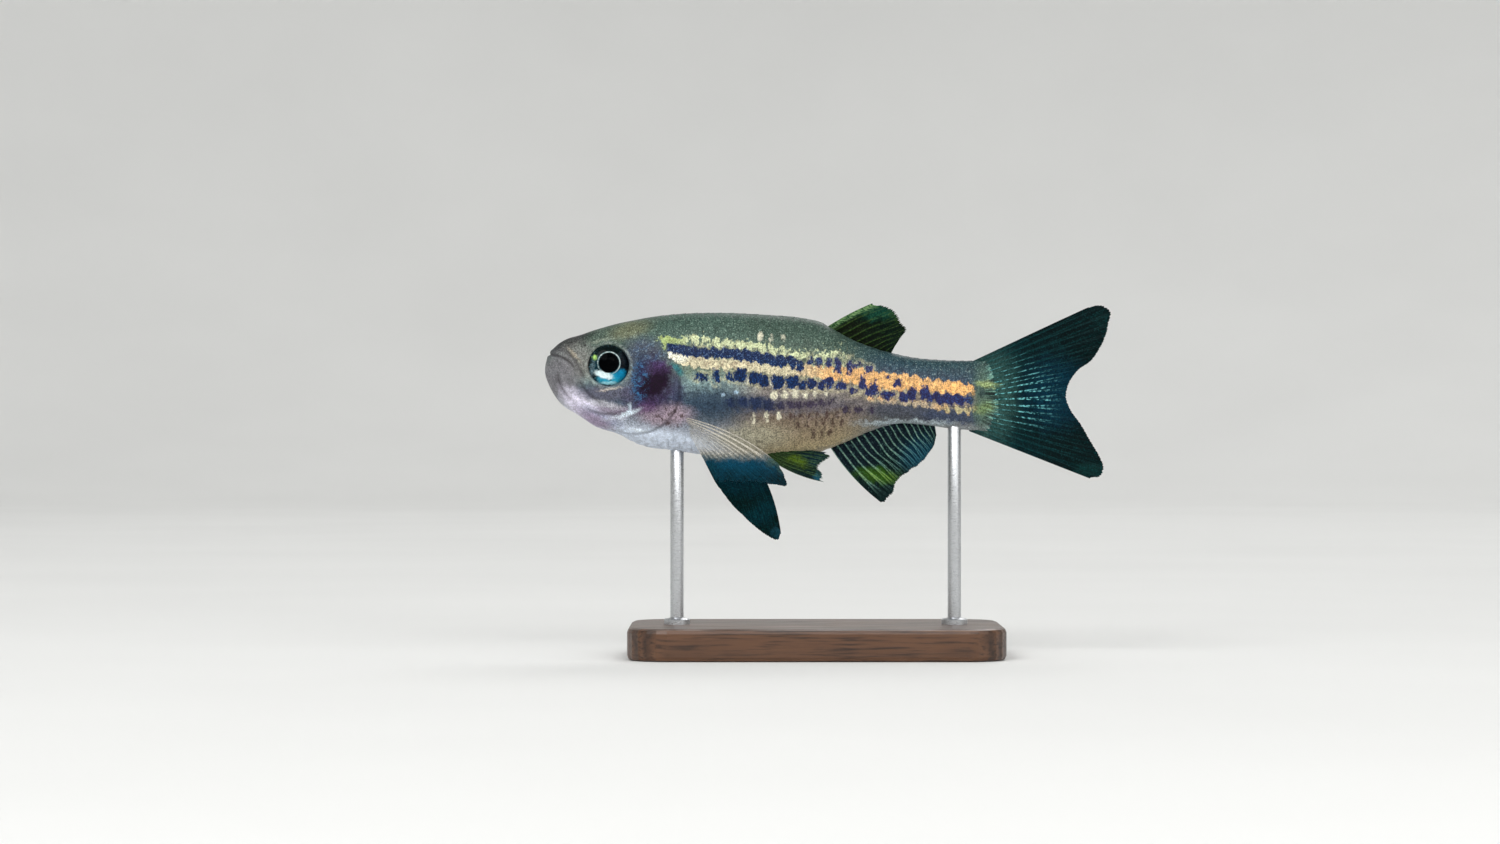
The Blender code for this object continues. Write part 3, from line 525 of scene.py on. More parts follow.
def make_scales():
    """The scales: thin curved plates, each rising from under the one before it to its free rear edge."""
    places = scale_places()
    on_body = surface(places[:, 0], places[:, 1], places[:, 2])
    front = line_x(NAPE, on_body[:, 2])
    root_line = line_x(TAIL_ROOT, on_body[:, 2])
    keep = (on_body[:, 0] > front + 0.25) & (on_body[:, 0] < root_line - 0.35)
    places = places[keep]
    random = np.random.default_rng(7)
    count = len(places)
    size = random.uniform(0.97, 1.04, count)
    lift = random.uniform(0.8, 1.2, count)

    steps = len(SCALE_STEPS)
    across = np.clip(SCALE_STEPS, -0.985, 0.985)
    reach = (1 - np.abs(across) ** 2.3) ** (1 / 2.3)
    b = np.repeat(across[:, None], steps, 1)
    a = SCALE_STEPS[None, :] * reach[:, None]
    edge = (np.abs(SCALE_STEPS)[:, None] == 1) | (np.abs(SCALE_STEPS)[None, :] == 1)
    rise = (a + 1) / 2
    height_above = SCALE_EDGE_HEIGHT * rise - SCALE_ROOT_SUNK * (1 - rise) ** 2 - 0.014 * b * b
    height_above = np.where(edge, -0.06, height_above)

    x, height, side, pitch = places.T[:, :, None, None]
    scale_x = x + (a * 0.66 - 0.04) * pitch * size[:, None, None]
    above = height >= 0
    length = arc_length(scale_x, above)
    centre_arc = height * arc_length(x, above)
    scale_height = (centre_arc + b * ROW_SPACING * 1.06 * pitch * size[:, None, None]) / length
    side_grid = np.broadcast_to(side, scale_x.shape)
    points = surface(scale_x, scale_height, side_grid)
    normals = surface_normal(scale_x, scale_height, side_grid)
    over = (height_above * lift[:, None, None])
    points = points + normals * over[..., None]

    per_scale = steps * steps
    quads = grid_faces(steps, steps)
    faces = (np.arange(count)[:, None, None] * per_scale + quads[None]).reshape(-1, 4)
    right = np.repeat(places[:, 2] > 0, len(quads))
    faces[right] = faces[right][:, ::-1]

    cell_u = UV_LENGTH * pitch * 0.36
    cell_v = 0.23 * ROW_SPACING * pitch / arc_length(x, above) * 0.42
    centre = skin_uv(x, height, side)
    uv = np.stack([centre[..., 0] + cell_u * a[None], centre[..., 1] + cell_v * b[None]], -1)
    uvs = uv.reshape(-1, 2)[faces.ravel()]

    flat_points = points.reshape(-1, 3)
    fields = marking_fields(flat_points)
    fields["height"] = np.clip(scale_height, -1, 1).ravel()
    # The rim near each scale's free rear edge is darkened in the material: partly pigment, partly painted shade
    rim = smooth(a, 0.7, 0.98)
    fields["rim"] = np.broadcast_to(rim[None], scale_x.shape).ravel()
    return new_piece("scales", to_metres(flat_points), faces, fields, uvs)


# Fins

CAUDAL_MARGIN = ((40.8, 4.9), (41.8, 5.0), (42.4, 4.45), (42.3, 3.6), (41.85, 2.3), (41.05, 0.9),
                 (39.95, 0.1), (39.3, -0.85), (39.15, -1.9), (39.5, -2.9), (40.3, -4.0), (41.05, -5.4),
                 (41.7, -6.5), (41.95, -7.15), (41.75, -7.8), (40.9, -8.0))
DORSAL_ROOT_X = (20.95, 25.8)
DORSAL_MARGIN = ((24.65, 5.2), (25.75, 4.9), (26.3, 4.4), (26.75, 3.85), (27.15, 3.2), (26.85, 2.75),
                 (26.5, 2.3), (26.2, 1.85))
ANAL_ROOT_X = (21.25, 29.2)
ANAL_MARGIN = ((24.9, -9.55), (25.3, -9.82), (25.75, -9.4), (26.2, -8.8), (26.5, -8.1), (27.1, -7.6),
               (27.95, -7.0), (28.7, -6.25), (29.2, -5.4), (29.35, -4.75))
PELVIC_ROOT = ((16.4, -6.1), (17.45, -5.75))
PELVIC_MARGIN = ((20.75, 1.9, -8.2), (20.85, 1.75, -7.7), (20.4, 1.55, -7.15), (20.8, 1.3, -6.7),
                 (21.25, 1.05, -6.25), (20.95, 0.85, -6.02))
PELVIC_BEND = (-0.1, 0, -0.3)
PECTORAL_ROOT = ((10.55, -3.45), (11.1, -4.45))
LEFT_PECTORAL_MARGIN = ((17.5, 7.5, -6.85), (17.95, 7.85, -7.9), (18.05, 7.85, -8.35), (17.2, 7.1, -8.35),
                        (15.6, 6.1, -8.25), (14.2, 5.0, -8.3), (12.85, 3.9, -8.15))
LEFT_PECTORAL_BEND = (0.4, 0.3, 0.4)
RIGHT_PECTORAL_MARGIN = ((17.75, 4.5, -12.25), (17.55, 4.45, -12.65), (16.6, 4.3, -12.35),
                         (15.2, 4.1, -11.2), (13.9, 3.8, -9.9), (12.8, 3.4, -8.4))
RIGHT_PECTORAL_BEND = (1.35, 0.35, 1.55)

COLUMNS_PER_RAY = 12
FIN_ROWS = 64
RAY_WIDTH = 0.17  # half of a ray's width at its root, over the distance between rays
RAY_HEIGHT = 0.085
MEMBRANE = 0.035  # half of the membrane's thickness


def ray_closeness(across, reach, rays, branch_at):
    """1 on the middle of a ray or one of its branches, falling to 0 beside it."""
    nearest = np.round(across * (rays - 1))
    off = across * (rays - 1) - nearest
    inner = (nearest > 0) & (nearest < rays - 1)
    fork = np.where(inner, 0.24 * smooth(reach, branch_at, 1.02), 0)
    second = np.where(inner, 0.11 * smooth(reach, branch_at + 0.27, 1.04), 0)
    off = np.abs(np.abs(off) - fork)
    off = np.abs(off - second)
    width = RAY_WIDTH * (1 - 0.5 * smooth(reach, branch_at - 0.1, 1))
    return bell(off, width)


def make_fin(name, roots, tips, bend, rays, wave=0.0, branch_at=0.42, wander=0.05, fray=0.015, lean=1.0,
             seed=1):
    """A fin of thin membrane with raised, forked rays, as one closed sheet. lean below 1 slants the rays."""
    random = np.random.default_rng(seed)
    columns = (rays - 1) * COLUMNS_PER_RAY + 1
    across = np.linspace(0, 1, columns)
    reach = np.linspace(0, 1, FIN_ROWS + 1)[:, None]
    base, margin = path(roots, across), path(tips, across ** lean)
    closeness = ray_closeness(across[None], reach, rays, branch_at)
    ray_number = across * (rays - 1)
    per_ray = np.interp(ray_number, np.arange(rays), random.uniform(-1, 1, rays))
    length = reach * (1 + fray * (per_ray - 1.4 * (1 - closeness[-1])) * reach ** 3)
    length = length[..., None]
    points = base + (margin - base) * length
    points += np.array(bend) * 4 * length * (1 - length) * ((1 - across) ** 1.5)[:, None]
    points[..., 1] += wave * reach ** 2 * np.sin(2 * math.pi * (across - 0.5))

    lengthwise = np.gradient(points, axis=0)
    sideways = np.gradient(points, axis=1)
    normals = np.cross(lengthwise, sideways)
    normals /= np.maximum(np.linalg.norm(normals, axis=-1, keepdims=True), 1e-12)
    folds = 0.03 * reach * np.cos(2 * math.pi * ray_number) + 0.05 * reach ** 2 * np.sin(9 * across + seed)
    points += normals * folds[..., None]
    spacing = np.linalg.norm(sideways, axis=-1) * COLUMNS_PER_RAY
    phase = np.interp(ray_number, np.arange(rays), random.uniform(0, 2 * math.pi, rays))
    inner = np.sin(math.pi * across) * np.sin(math.pi * reach)
    drift = wander * inner * np.sin(7 * reach + 0.5 * phase)
    points += sideways * (drift / np.maximum(spacing, 1e-6) * COLUMNS_PER_RAY)[..., None]

    ridge = np.minimum(RAY_HEIGHT, 0.28 * spacing) * closeness * (1 - 0.72 * reach)
    joints = 1 - 0.16 * (np.cos(reach * 2 * math.pi * 26) > 0.55) * smooth(reach, 0.1, 0.2)
    thick = MEMBRANE * (1 - 0.45 * reach) + ridge * joints
    thick *= 1 - 0.5 * smooth(reach, 0.96, 1.0)
    near, far = points - normals * thick[..., None], points + normals * thick[..., None]

    rows = FIN_ROWS + 1
    count = rows * columns
    sheet = grid_faces(rows, columns)
    back = sheet[:, ::-1] + count
    index = np.arange(count).reshape(rows, columns)
    border = np.concatenate([index[0, :-1], index[:-1, -1], index[-1, :0:-1], index[:0:-1, 0]])
    after = np.roll(border, -1)
    rim = np.stack([after, border, border + count, after + count], -1)
    faces = np.concatenate([sheet, back, rim])
    vertices = np.concatenate([near.reshape(-1, 3), far.reshape(-1, 3)])

    wide = np.repeat(across[None], rows, 0).ravel()
    long = np.repeat(reach, columns, 1).ravel()
    is_far = faces.max(1) >= count
    corner = faces % count
    u = 0.02 + 0.46 * wide[corner] + 0.5 * is_far[:, None]
    uvs = np.stack([u, 0.02 + 0.96 * long[corner]], -1)
    attributes = {
        "ray": np.concatenate([closeness.ravel()] * 2),
        "across": np.concatenate([wide] * 2),
        "reach": np.concatenate([long] * 2),
    }
    return new_piece(name, to_metres(vertices), faces, attributes, uvs)


def median_root(xs, line, sunk):
    """The base line of the dorsal or anal fin, sunk into the back or belly."""
    return [(x, 0, float(along(line, x)) + sunk) for x in np.linspace(*xs, 7)]


def caudal_root():
    """The tail fin's base line, inside the end of the tail."""
    return [(x - 0.75, 0, z) for x, z in path(TAIL_ROOT, np.linspace(0.19, 0.81, 9))]


def paired_root(points, side, sunk):
    """The base line of a paired fin, sunk into the body's side."""
    line = path(points, np.linspace(0, 1, 5))
    return [(x - sunk, side * (float(half_width(x, z)) - sunk), z + 0.3 * sunk) for x, z in line]


def beside(points, side):
    return [(x, side * y, z) for x, y, z in points]


def flat(points):
    return [(x, 0, z) for x, z in points]


# Eyes and rods


def make_eye(name, side):
    """A globe with a domed front, turned about the line across the head."""
    rings = 40
    spokes = 72
    middle = side * (float(half_width(EYE_X, EYE_Z)) + EYE_STANDS_OUT - EYE_DEPTH)
    turn = np.linspace(0, math.pi, rings + 1)
    radius = (EYE_RADIUS + 0.1) * np.sin(turn)
    depth = EYE_DEPTH * np.cos(turn)
    lens = 0.07 * (1 - smooth(radius, 0.45, 0.95)) * (turn < 1.5)
    depth = depth + lens
    angles = np.linspace(0, 2 * math.pi, spokes, endpoint=False)
    x = EYE_X + radius[1:-1, None] * np.cos(angles)
    z = EYE_Z + radius[1:-1, None] * np.sin(angles)
    y = np.repeat((middle + side * depth[1:-1])[:, None], spokes, 1)
    poles = [(EYE_X, middle + side * depth[0], EYE_Z), (EYE_X, middle + side * depth[-1], EYE_Z)]
    vertices = np.concatenate([np.stack([x, y, z], -1).reshape(-1, 3), poles])
    faces = capped_faces(rings - 1, spokes)
    if side < 0:
        faces = faces[:, ::-1]
    return new_piece(name, to_metres(vertices), faces)


ROD_STATIONS = {"front": 9.9, "rear": 30.7}
ROD_RADIUS = 0.5
BASE_HEIGHT = 2.4


def make_rod(name, station):
    """A round rod from inside the base to just inside the fish, with a low collar on the base."""
    top = SNOUT_LEVEL + float(section(station)[1]) + 0.25
    profile = ((0.0, BASE_HEIGHT - 0.2), (0.98, BASE_HEIGHT - 0.2), (0.98, BASE_HEIGHT + 0.34),
               (0.9, BASE_HEIGHT + 0.42), (0.62, BASE_HEIGHT + 0.45), (ROD_RADIUS, BASE_HEIGHT + 0.52),
               (ROD_RADIUS, BASE_HEIGHT + 3), (ROD_RADIUS, (BASE_HEIGHT + top) / 2), (ROD_RADIUS, top - 0.16),
               (0.42, top - 0.04), (0.0, top))
    spokes = 48
    vertices = turned(profile, spokes) + (station, 0, -SNOUT_LEVEL)
    faces = grid_faces(len(profile), spokes, closed=True)
    piece = new_piece(name, to_metres(vertices), faces)
    welded(piece)
    piece.data.set_sharp_from_angle(angle=math.radians(40))
    return piece


def welded(piece):
    """Merges the points that lie together at the poles of a turned form."""
    bm = bmesh.new()
    bm.from_mesh(piece.data)
    bmesh.ops.remove_doubles(bm, verts=bm.verts, dist=1e-7)
    bmesh.ops.recalc_face_normals(bm, faces=bm.faces)
    bm.to_mesh(piece.data)
    bm.free()


# Materials


def colour(red, green, blue):
    """A colour given as it looks on screen, from 0 to 255, as linear light."""
    linear = [((c / 255 + 0.055) / 1.055) ** 2.4 if c > 10.3 else c / 255 / 12.92 for c in (red, green, blue)]
    return (*linear, 1.0)


class Look:
    """One material and short names for the nodes it is built from."""

    def __init__(self, name, roughness=0.5, specular=0.3, coat=0.0, coat_roughness=0.1):
        self.material = bpy.data.materials.new(name)
        self.material.use_nodes = True
        self.tree = self.material.node_tree
        self.shader = self.tree.nodes["Principled BSDF"]
        for key, value in (("Roughness", roughness), ("Specular IOR Level", specular), ("Coat Weight", coat),
                           ("Coat Roughness", coat_roughness)):
            self.shader.inputs[key].default_value = value
        place = self.node("ShaderNodeTexCoord").outputs["Object"]
        self.place = self.node("ShaderNodeMapping", Vector=place, Scale=(1 / MM,) * 3,
                               Location=(ORIGIN_X, 0, -SNOUT_LEVEL)).outputs[0]

    def node(self, kind, settings=None, **inputs):
        made = self.tree.nodes.new(kind)
        for key, value in (settings or {}).items():
            setattr(made, key, value)
        for key, value in inputs.items():
            self.feed(made.inputs[key.replace("_", " ")], value)
        return made

    def feed(self, socket, value):
        if isinstance(value, bpy.types.NodeSocket):
            self.tree.links.new(value, socket)
        else:
            socket.default_value = value

    def finish(self, **inputs):
        """Feeds the shader and hands over the material."""
        for key, value in inputs.items():
            self.feed(self.shader.inputs[key.replace("_", " ")], value)
        return self.material

    def chain(self, operation, values):
        result = values[0]
        for value in values[1:]:
            made = self.node("ShaderNodeMath", {"operation": operation})
            self.feed(made.inputs[0], result)
            self.feed(made.inputs[1], value)
            result = made.outputs[0]
        return result

    def total(self, *values):
        return self.chain("ADD", values)

    def product(self, *values):
        return self.chain("MULTIPLY", values)

    def largest(self, *values):
        return self.chain("MAXIMUM", values)

    def step(self, value, low, high, start=0.0, end=1.0):
        """A smooth step of value, from start at low to end at high."""
        made = self.node("ShaderNodeMapRange", {"interpolation_type": "SMOOTHSTEP"})
        for key, given in (("Value", value), ("From Min", low), ("From Max", high), ("To Min", start),
                           ("To Max", end)):
            self.feed(made.inputs[key], given)
        return made.outputs[0]

    def within(self, value, low, high, soft):
        """1 between low and high."""
        return self.product(self.step(value, low - soft, low + soft),
                            self.step(value, high + soft, high - soft))

    def mix(self, share, first, second, blend="MIX"):
        made = self.node("ShaderNodeMix", {"data_type": "RGBA", "blend_type": blend})
        for socket, value in zip((made.inputs[0], made.inputs[6], made.inputs[7]), (share, first, second)):
            self.feed(socket, value)
        return made.outputs[2]

    def brighten(self, shade, factor):
        """The colour times a factor."""
        made = self.node("ShaderNodeVectorMath", {"operation": "SCALE"})
        self.feed(made.inputs[0], shade)
        self.feed(made.inputs["Scale"], factor)
        return made.outputs[0]

    def field(self, name):
        return self.node("ShaderNodeAttribute", {"attribute_name": name}).outputs["Fac"]

    def axis(self, name):
        """One coordinate of the place on the fish, in mm."""
        return self.node("ShaderNodeSeparateXYZ", Vector=self.place).outputs[name]

    def noise(self, scale, detail=2.0, rough=0.5, stretch=(1, 1, 1), place=None, output="Fac"):
        place = self.place if place is None else place
        if stretch != (1, 1, 1):
            place = self.node("ShaderNodeMapping", Vector=place, Scale=stretch).outputs[0]
        return self.node("ShaderNodeTexNoise", Vector=place, Scale=scale, Detail=detail,
                         Roughness=rough).outputs[output]

    def stirred(self, push, amount):
        """The place, pushed about by a colour noise by up to half of amount, in mm."""
        centred = self.node("ShaderNodeVectorMath", {"operation": "MULTIPLY_ADD"})
        for socket, value in zip(centred.inputs, (push, (amount,) * 3, (-amount / 2,) * 3)):
            self.feed(socket, value)
        moved = self.node("ShaderNodeVectorMath", {"operation": "ADD"})
        self.feed(moved.inputs[0], centred.outputs[0])
        self.feed(moved.inputs[1], self.place)
        return moved.outputs[0]

    def distance_from(self, x, z):
        """The distance from a point of the side view."""
        apart = self.node("ShaderNodeVectorMath", {"operation": "DISTANCE"})
        side_view = self.node("ShaderNodeMapping", Vector=self.place, Scale=(1, 0, 1)).outputs[0]
        self.feed(apart.inputs[0], side_view)
        self.feed(apart.inputs[1], (x, 0, z))
        return apart.outputs["Value"]

    def round_about(self, x, z, turns, outward, detail=3):
        """Noise drawn out along the lines that run away from a point of the side view."""
        angle = self.node("ShaderNodeMath", {"operation": "ARCTAN2"})
        self.feed(angle.inputs[0], self.total(self.axis("Z"), -z))
        self.feed(angle.inputs[1], self.total(self.axis("X"), -x))
        polar = self.node("ShaderNodeCombineXYZ", X=self.product(angle.outputs[0], turns),
                          Y=self.product(self.distance_from(x, z), outward))
        return self.noise(1.0, detail, 0.6, place=polar.outputs[0])

    def patch(self, x, z, half_x, half_z, turn=0.0, soft=0.5, strength=1.0, place=None):
        """A soft oval of the side view, its rear end raised by turn degrees. It is 0 outside."""
        place = self.place if place is None else place
        inside = self.node("ShaderNodeMapping", {"vector_type": "TEXTURE"}, Vector=place, Location=(x, 0, z),
                           Rotation=(0, -math.radians(turn), 0), Scale=(half_x, 1e6, half_z)).outputs[0]
        size = self.node("ShaderNodeVectorMath", {"operation": "LENGTH"})
        self.feed(size.inputs[0], inside)
        return self.step(size.outputs["Value"], 1 + soft, 1 - soft, 0.0, strength)

    def patches(self, shade, table, place=None):
        """Lays soft ovals of colour over a shade, in the table's order."""
        for tint, x, z, half_x, half_z, turn, soft, strength in table:
            share = self.patch(x, z, half_x, half_z, turn, soft, strength, place)
            shade = self.mix(share, shade, colour(*tint))
        return shade

    def ramp(self, value, stops):
        made = self.node("ShaderNodeValToRGB", Fac=value)
        elements = made.color_ramp.elements
        while len(elements) < len(stops):
            elements.new(0.5)
        for element, (position, tint) in zip(elements, stops):
            element.position = position
            element.color = colour(*tint)
        return made.outputs[0]

    def bump(self, height, distance, strength=0.5):
        return self.node("ShaderNodeBump", Height=height, Distance=distance * MM,
                         Strength=strength).outputs[0]


# The flank's ground colours from the belly (0) up to the back (1)
FRONT_FLANK = ((0.0, (200, 206, 216)), (0.12, (194, 202, 214)), (0.2, (152, 158, 170)), (0.28, (88, 98, 108)),
               (0.36, (48, 64, 80)), (0.42, (80, 96, 104)), (0.48, (123, 147, 147)), (0.56, (100, 116, 102)),
               (0.66, (82, 99, 88)), (0.76, (69, 90, 81)), (1.0, (57, 80, 71)))
MIDDLE_FLANK = ((0.0, (192, 184, 160)), (0.1, (168, 154, 122)), (0.2, (136, 122, 98)), (0.3, (118, 104, 90)),
                (0.38, (88, 86, 92)), (0.47, (128, 120, 113)), (0.58, (104, 110, 94)), (0.68, (76, 92, 81)),
                (0.78, (65, 84, 74)), (1.0, (55, 73, 65)))
REAR_FLANK = ((0.0, (160, 166, 168)), (0.08, (128, 132, 134)), (0.18, (84, 88, 92)), (0.3, (66, 72, 88)),
              (0.41, (134, 121, 107)), (0.5, (120, 108, 98)), (0.6, (62, 70, 92)), (0.72, (47, 67, 82)),
              (0.86, (42, 66, 73)), (1.0, (40, 62, 65)))

# Soft ovals of colour: tint, middle, half length and half height, rise of the rear end, softness, strength
HEAD_TINTS = (
    ((72, 86, 76), 4.6, 3.2, 4.2, 0.9, 14, 0.5, 0.9),
    ((108, 110, 84), 6.4, 3.1, 1.4, 0.6, 14, 0.6, 0.7),
    ((20, 23, 27), 1.7, 2.2, 1.9, 0.6, 26, 0.5, 0.95),
    ((110, 110, 106), 2.5, 0.7, 1.5, 1.5, 0, 0.5, 0.9),
    ((110, 109, 113), 1.0, -0.5, 1.5, 1.9, 0, 0.5, 0.95),
    ((226, 220, 238), 3.2, -3.0, 2.2, 0.9, -42, 0.5, 0.95),
    ((88, 88, 102), 4.7, -1.6, 1.9, 0.6, 0, 0.5, 0.85),
    ((142, 146, 168), 4.3, -3.7, 2.0, 0.7, -28, 0.5, 0.9),
    ((130, 112, 130), 5.4, -2.9, 1.4, 0.4, -6, 0.5, 0.6),
    ((152, 128, 154), 4.0, -3.8, 1.7, 0.45, -32, 0.6, 0.6),
    ((54, 62, 82), 7.5, 1.2, 1.6, 1.3, 0, 0.5, 0.9),
    ((70, 66, 88), 6.6, -1.5, 0.8, 1.4, 0, 0.5, 0.7),
    ((16, 52, 88), 7.2, -0.75, 0.55, 1.6, 0, 0.6, 0.9),
    ((70, 140, 178), 7.2, -0.5, 0.2, 0.18, 0, 0.8, 0.85),
    ((48, 54, 80), 9.95, -1.5, 0.55, 1.3, 0, 0.6, 0.8),
    ((148, 132, 143), 9.1, -3.2, 1.9, 0.8, 0, 0.5, 0.95),
    ((96, 64, 100), 7.7, -2.6, 0.8, 0.5, 20, 0.6, 0.7),
    ((204, 214, 229), 8.6, -5.2, 4.2, 0.85, -8, 0.4, 1.0),
    ((44, 128, 134), 9.95, 0.2, 0.55, 0.24, -45, 0.5, 0.85),
    ((196, 186, 178), 4.9, -1.3, 0.75, 0.1, 8, 0.6, 0.8),
    ((176, 176, 184), 4.5, -2.4, 1.3, 0.25, -12, 0.6, 0.8),
    # The next four thin pale streaks, along the folds of the lower jaw and the lower edge of the gill cover, are
    # painted highlights
    ((188, 190, 204), 5.4, -3.45, 0.85, 0.16, 8, 0.6, 0.8),
    ((214, 228, 238), 6.35, -3.1, 0.8, 0.16, 20, 0.8, 0.9),
    ((196, 212, 224), 6.4, -2.7, 0.13, 0.33, -8, 0.9, 0.6),
    ((220, 230, 240), 7.2, -4.4, 0.7, 0.11, -10, 0.5, 0.9),
    ((122, 130, 116), 4.3, 2.35, 0.9, 0.12, 12, 0.6, 0.7),
    ((150, 140, 122), 2.2, 1.3, 0.6, 0.14, -50, 0.7, 0.7),
)
BLOTCH_TINTS = (
    ((48, 30, 66), 8.35, -0.9, 1.5, 2.0, -8, 0.5, 0.85),
    ((66, 42, 84), 8.7, 0.15, 0.7, 0.6, 0, 0.5, 0.8),
    ((19, 0, 24), 8.3, -0.95, 1.35, 0.85, 38, 0.4, 1.0),
)
# Clouds of the lowest stripe, the smooth tan belly and the end of the tail
FLANK_TINTS = (
    ((42, 60, 78), 12.7, -2.3, 2.2, 1.1, 0, 0.6, 0.75),
    ((34, 48, 74), 15.6, -2.4, 1.9, 0.55, 0, 0.5, 0.75),
    ((92, 84, 90), 19.8, -2.5, 2.2, 0.4, 0, 0.6, 0.7),
    ((74, 77, 86), 26.8, -3.05, 2.6, 0.42, -8, 0.6, 0.75),
    ((54, 64, 86), 30.4, -3.4, 2.4, 0.42, -5, 0.5, 0.85),
    ((164, 160, 138), 15.4, -5.0, 2.6, 1.0, 4, 0.6, 0.8),
    ((178, 192, 198), 27.0, -3.85, 3.0, 0.26, 0, 0.6, 0.95),
)
TAIL_TINTS = (
    ((50, 80, 75), 33.7, -1.8, 1.35, 3.0, 0, 0.85, 0.95),
    ((78, 100, 86), 32.8, -2.0, 0.6, 2.2, 0, 0.6, 0.85),
    ((150, 168, 112), 33.1, -0.95, 0.8, 0.24, -8, 0.6, 0.95),
    ((110, 132, 86), 33.0, -2.7, 0.75, 0.42, 12, 0.7, 0.85),
    ((24, 48, 44), 33.5, -1.65, 0.7, 0.22, 0, 0.6, 0.9),
    ((50, 68, 68), 32.75, -1.6, 0.25, 0.3, 0, 0.6, 0.8),
    ((12, 50, 48), 34.1, -2.1, 0.4, 0.16, 0, 0.6, 0.8),
)

NAVY = colour(5, 28, 68)
PURPLE = colour(40, 38, 80)
CREAM = colour(197, 188, 157)
ORANGE = colour(222, 172, 112)
TAN = colour(172, 156, 132)


def flank_ground(look, x, clouds):
    """The flank under its markings: ramps from belly to back in three places, blended along the fish."""
    level = look.total(look.product(look.field("height"), 0.5), look.product(clouds, 0.16), 0.42)
    shade = look.mix(look.step(x, 12.5, 17), look.ramp(level, FRONT_FLANK), look.ramp(level, MIDDLE_FLANK))
    return look.mix(look.step(x, 21.5, 26), shade, look.ramp(level, REAR_FLANK))


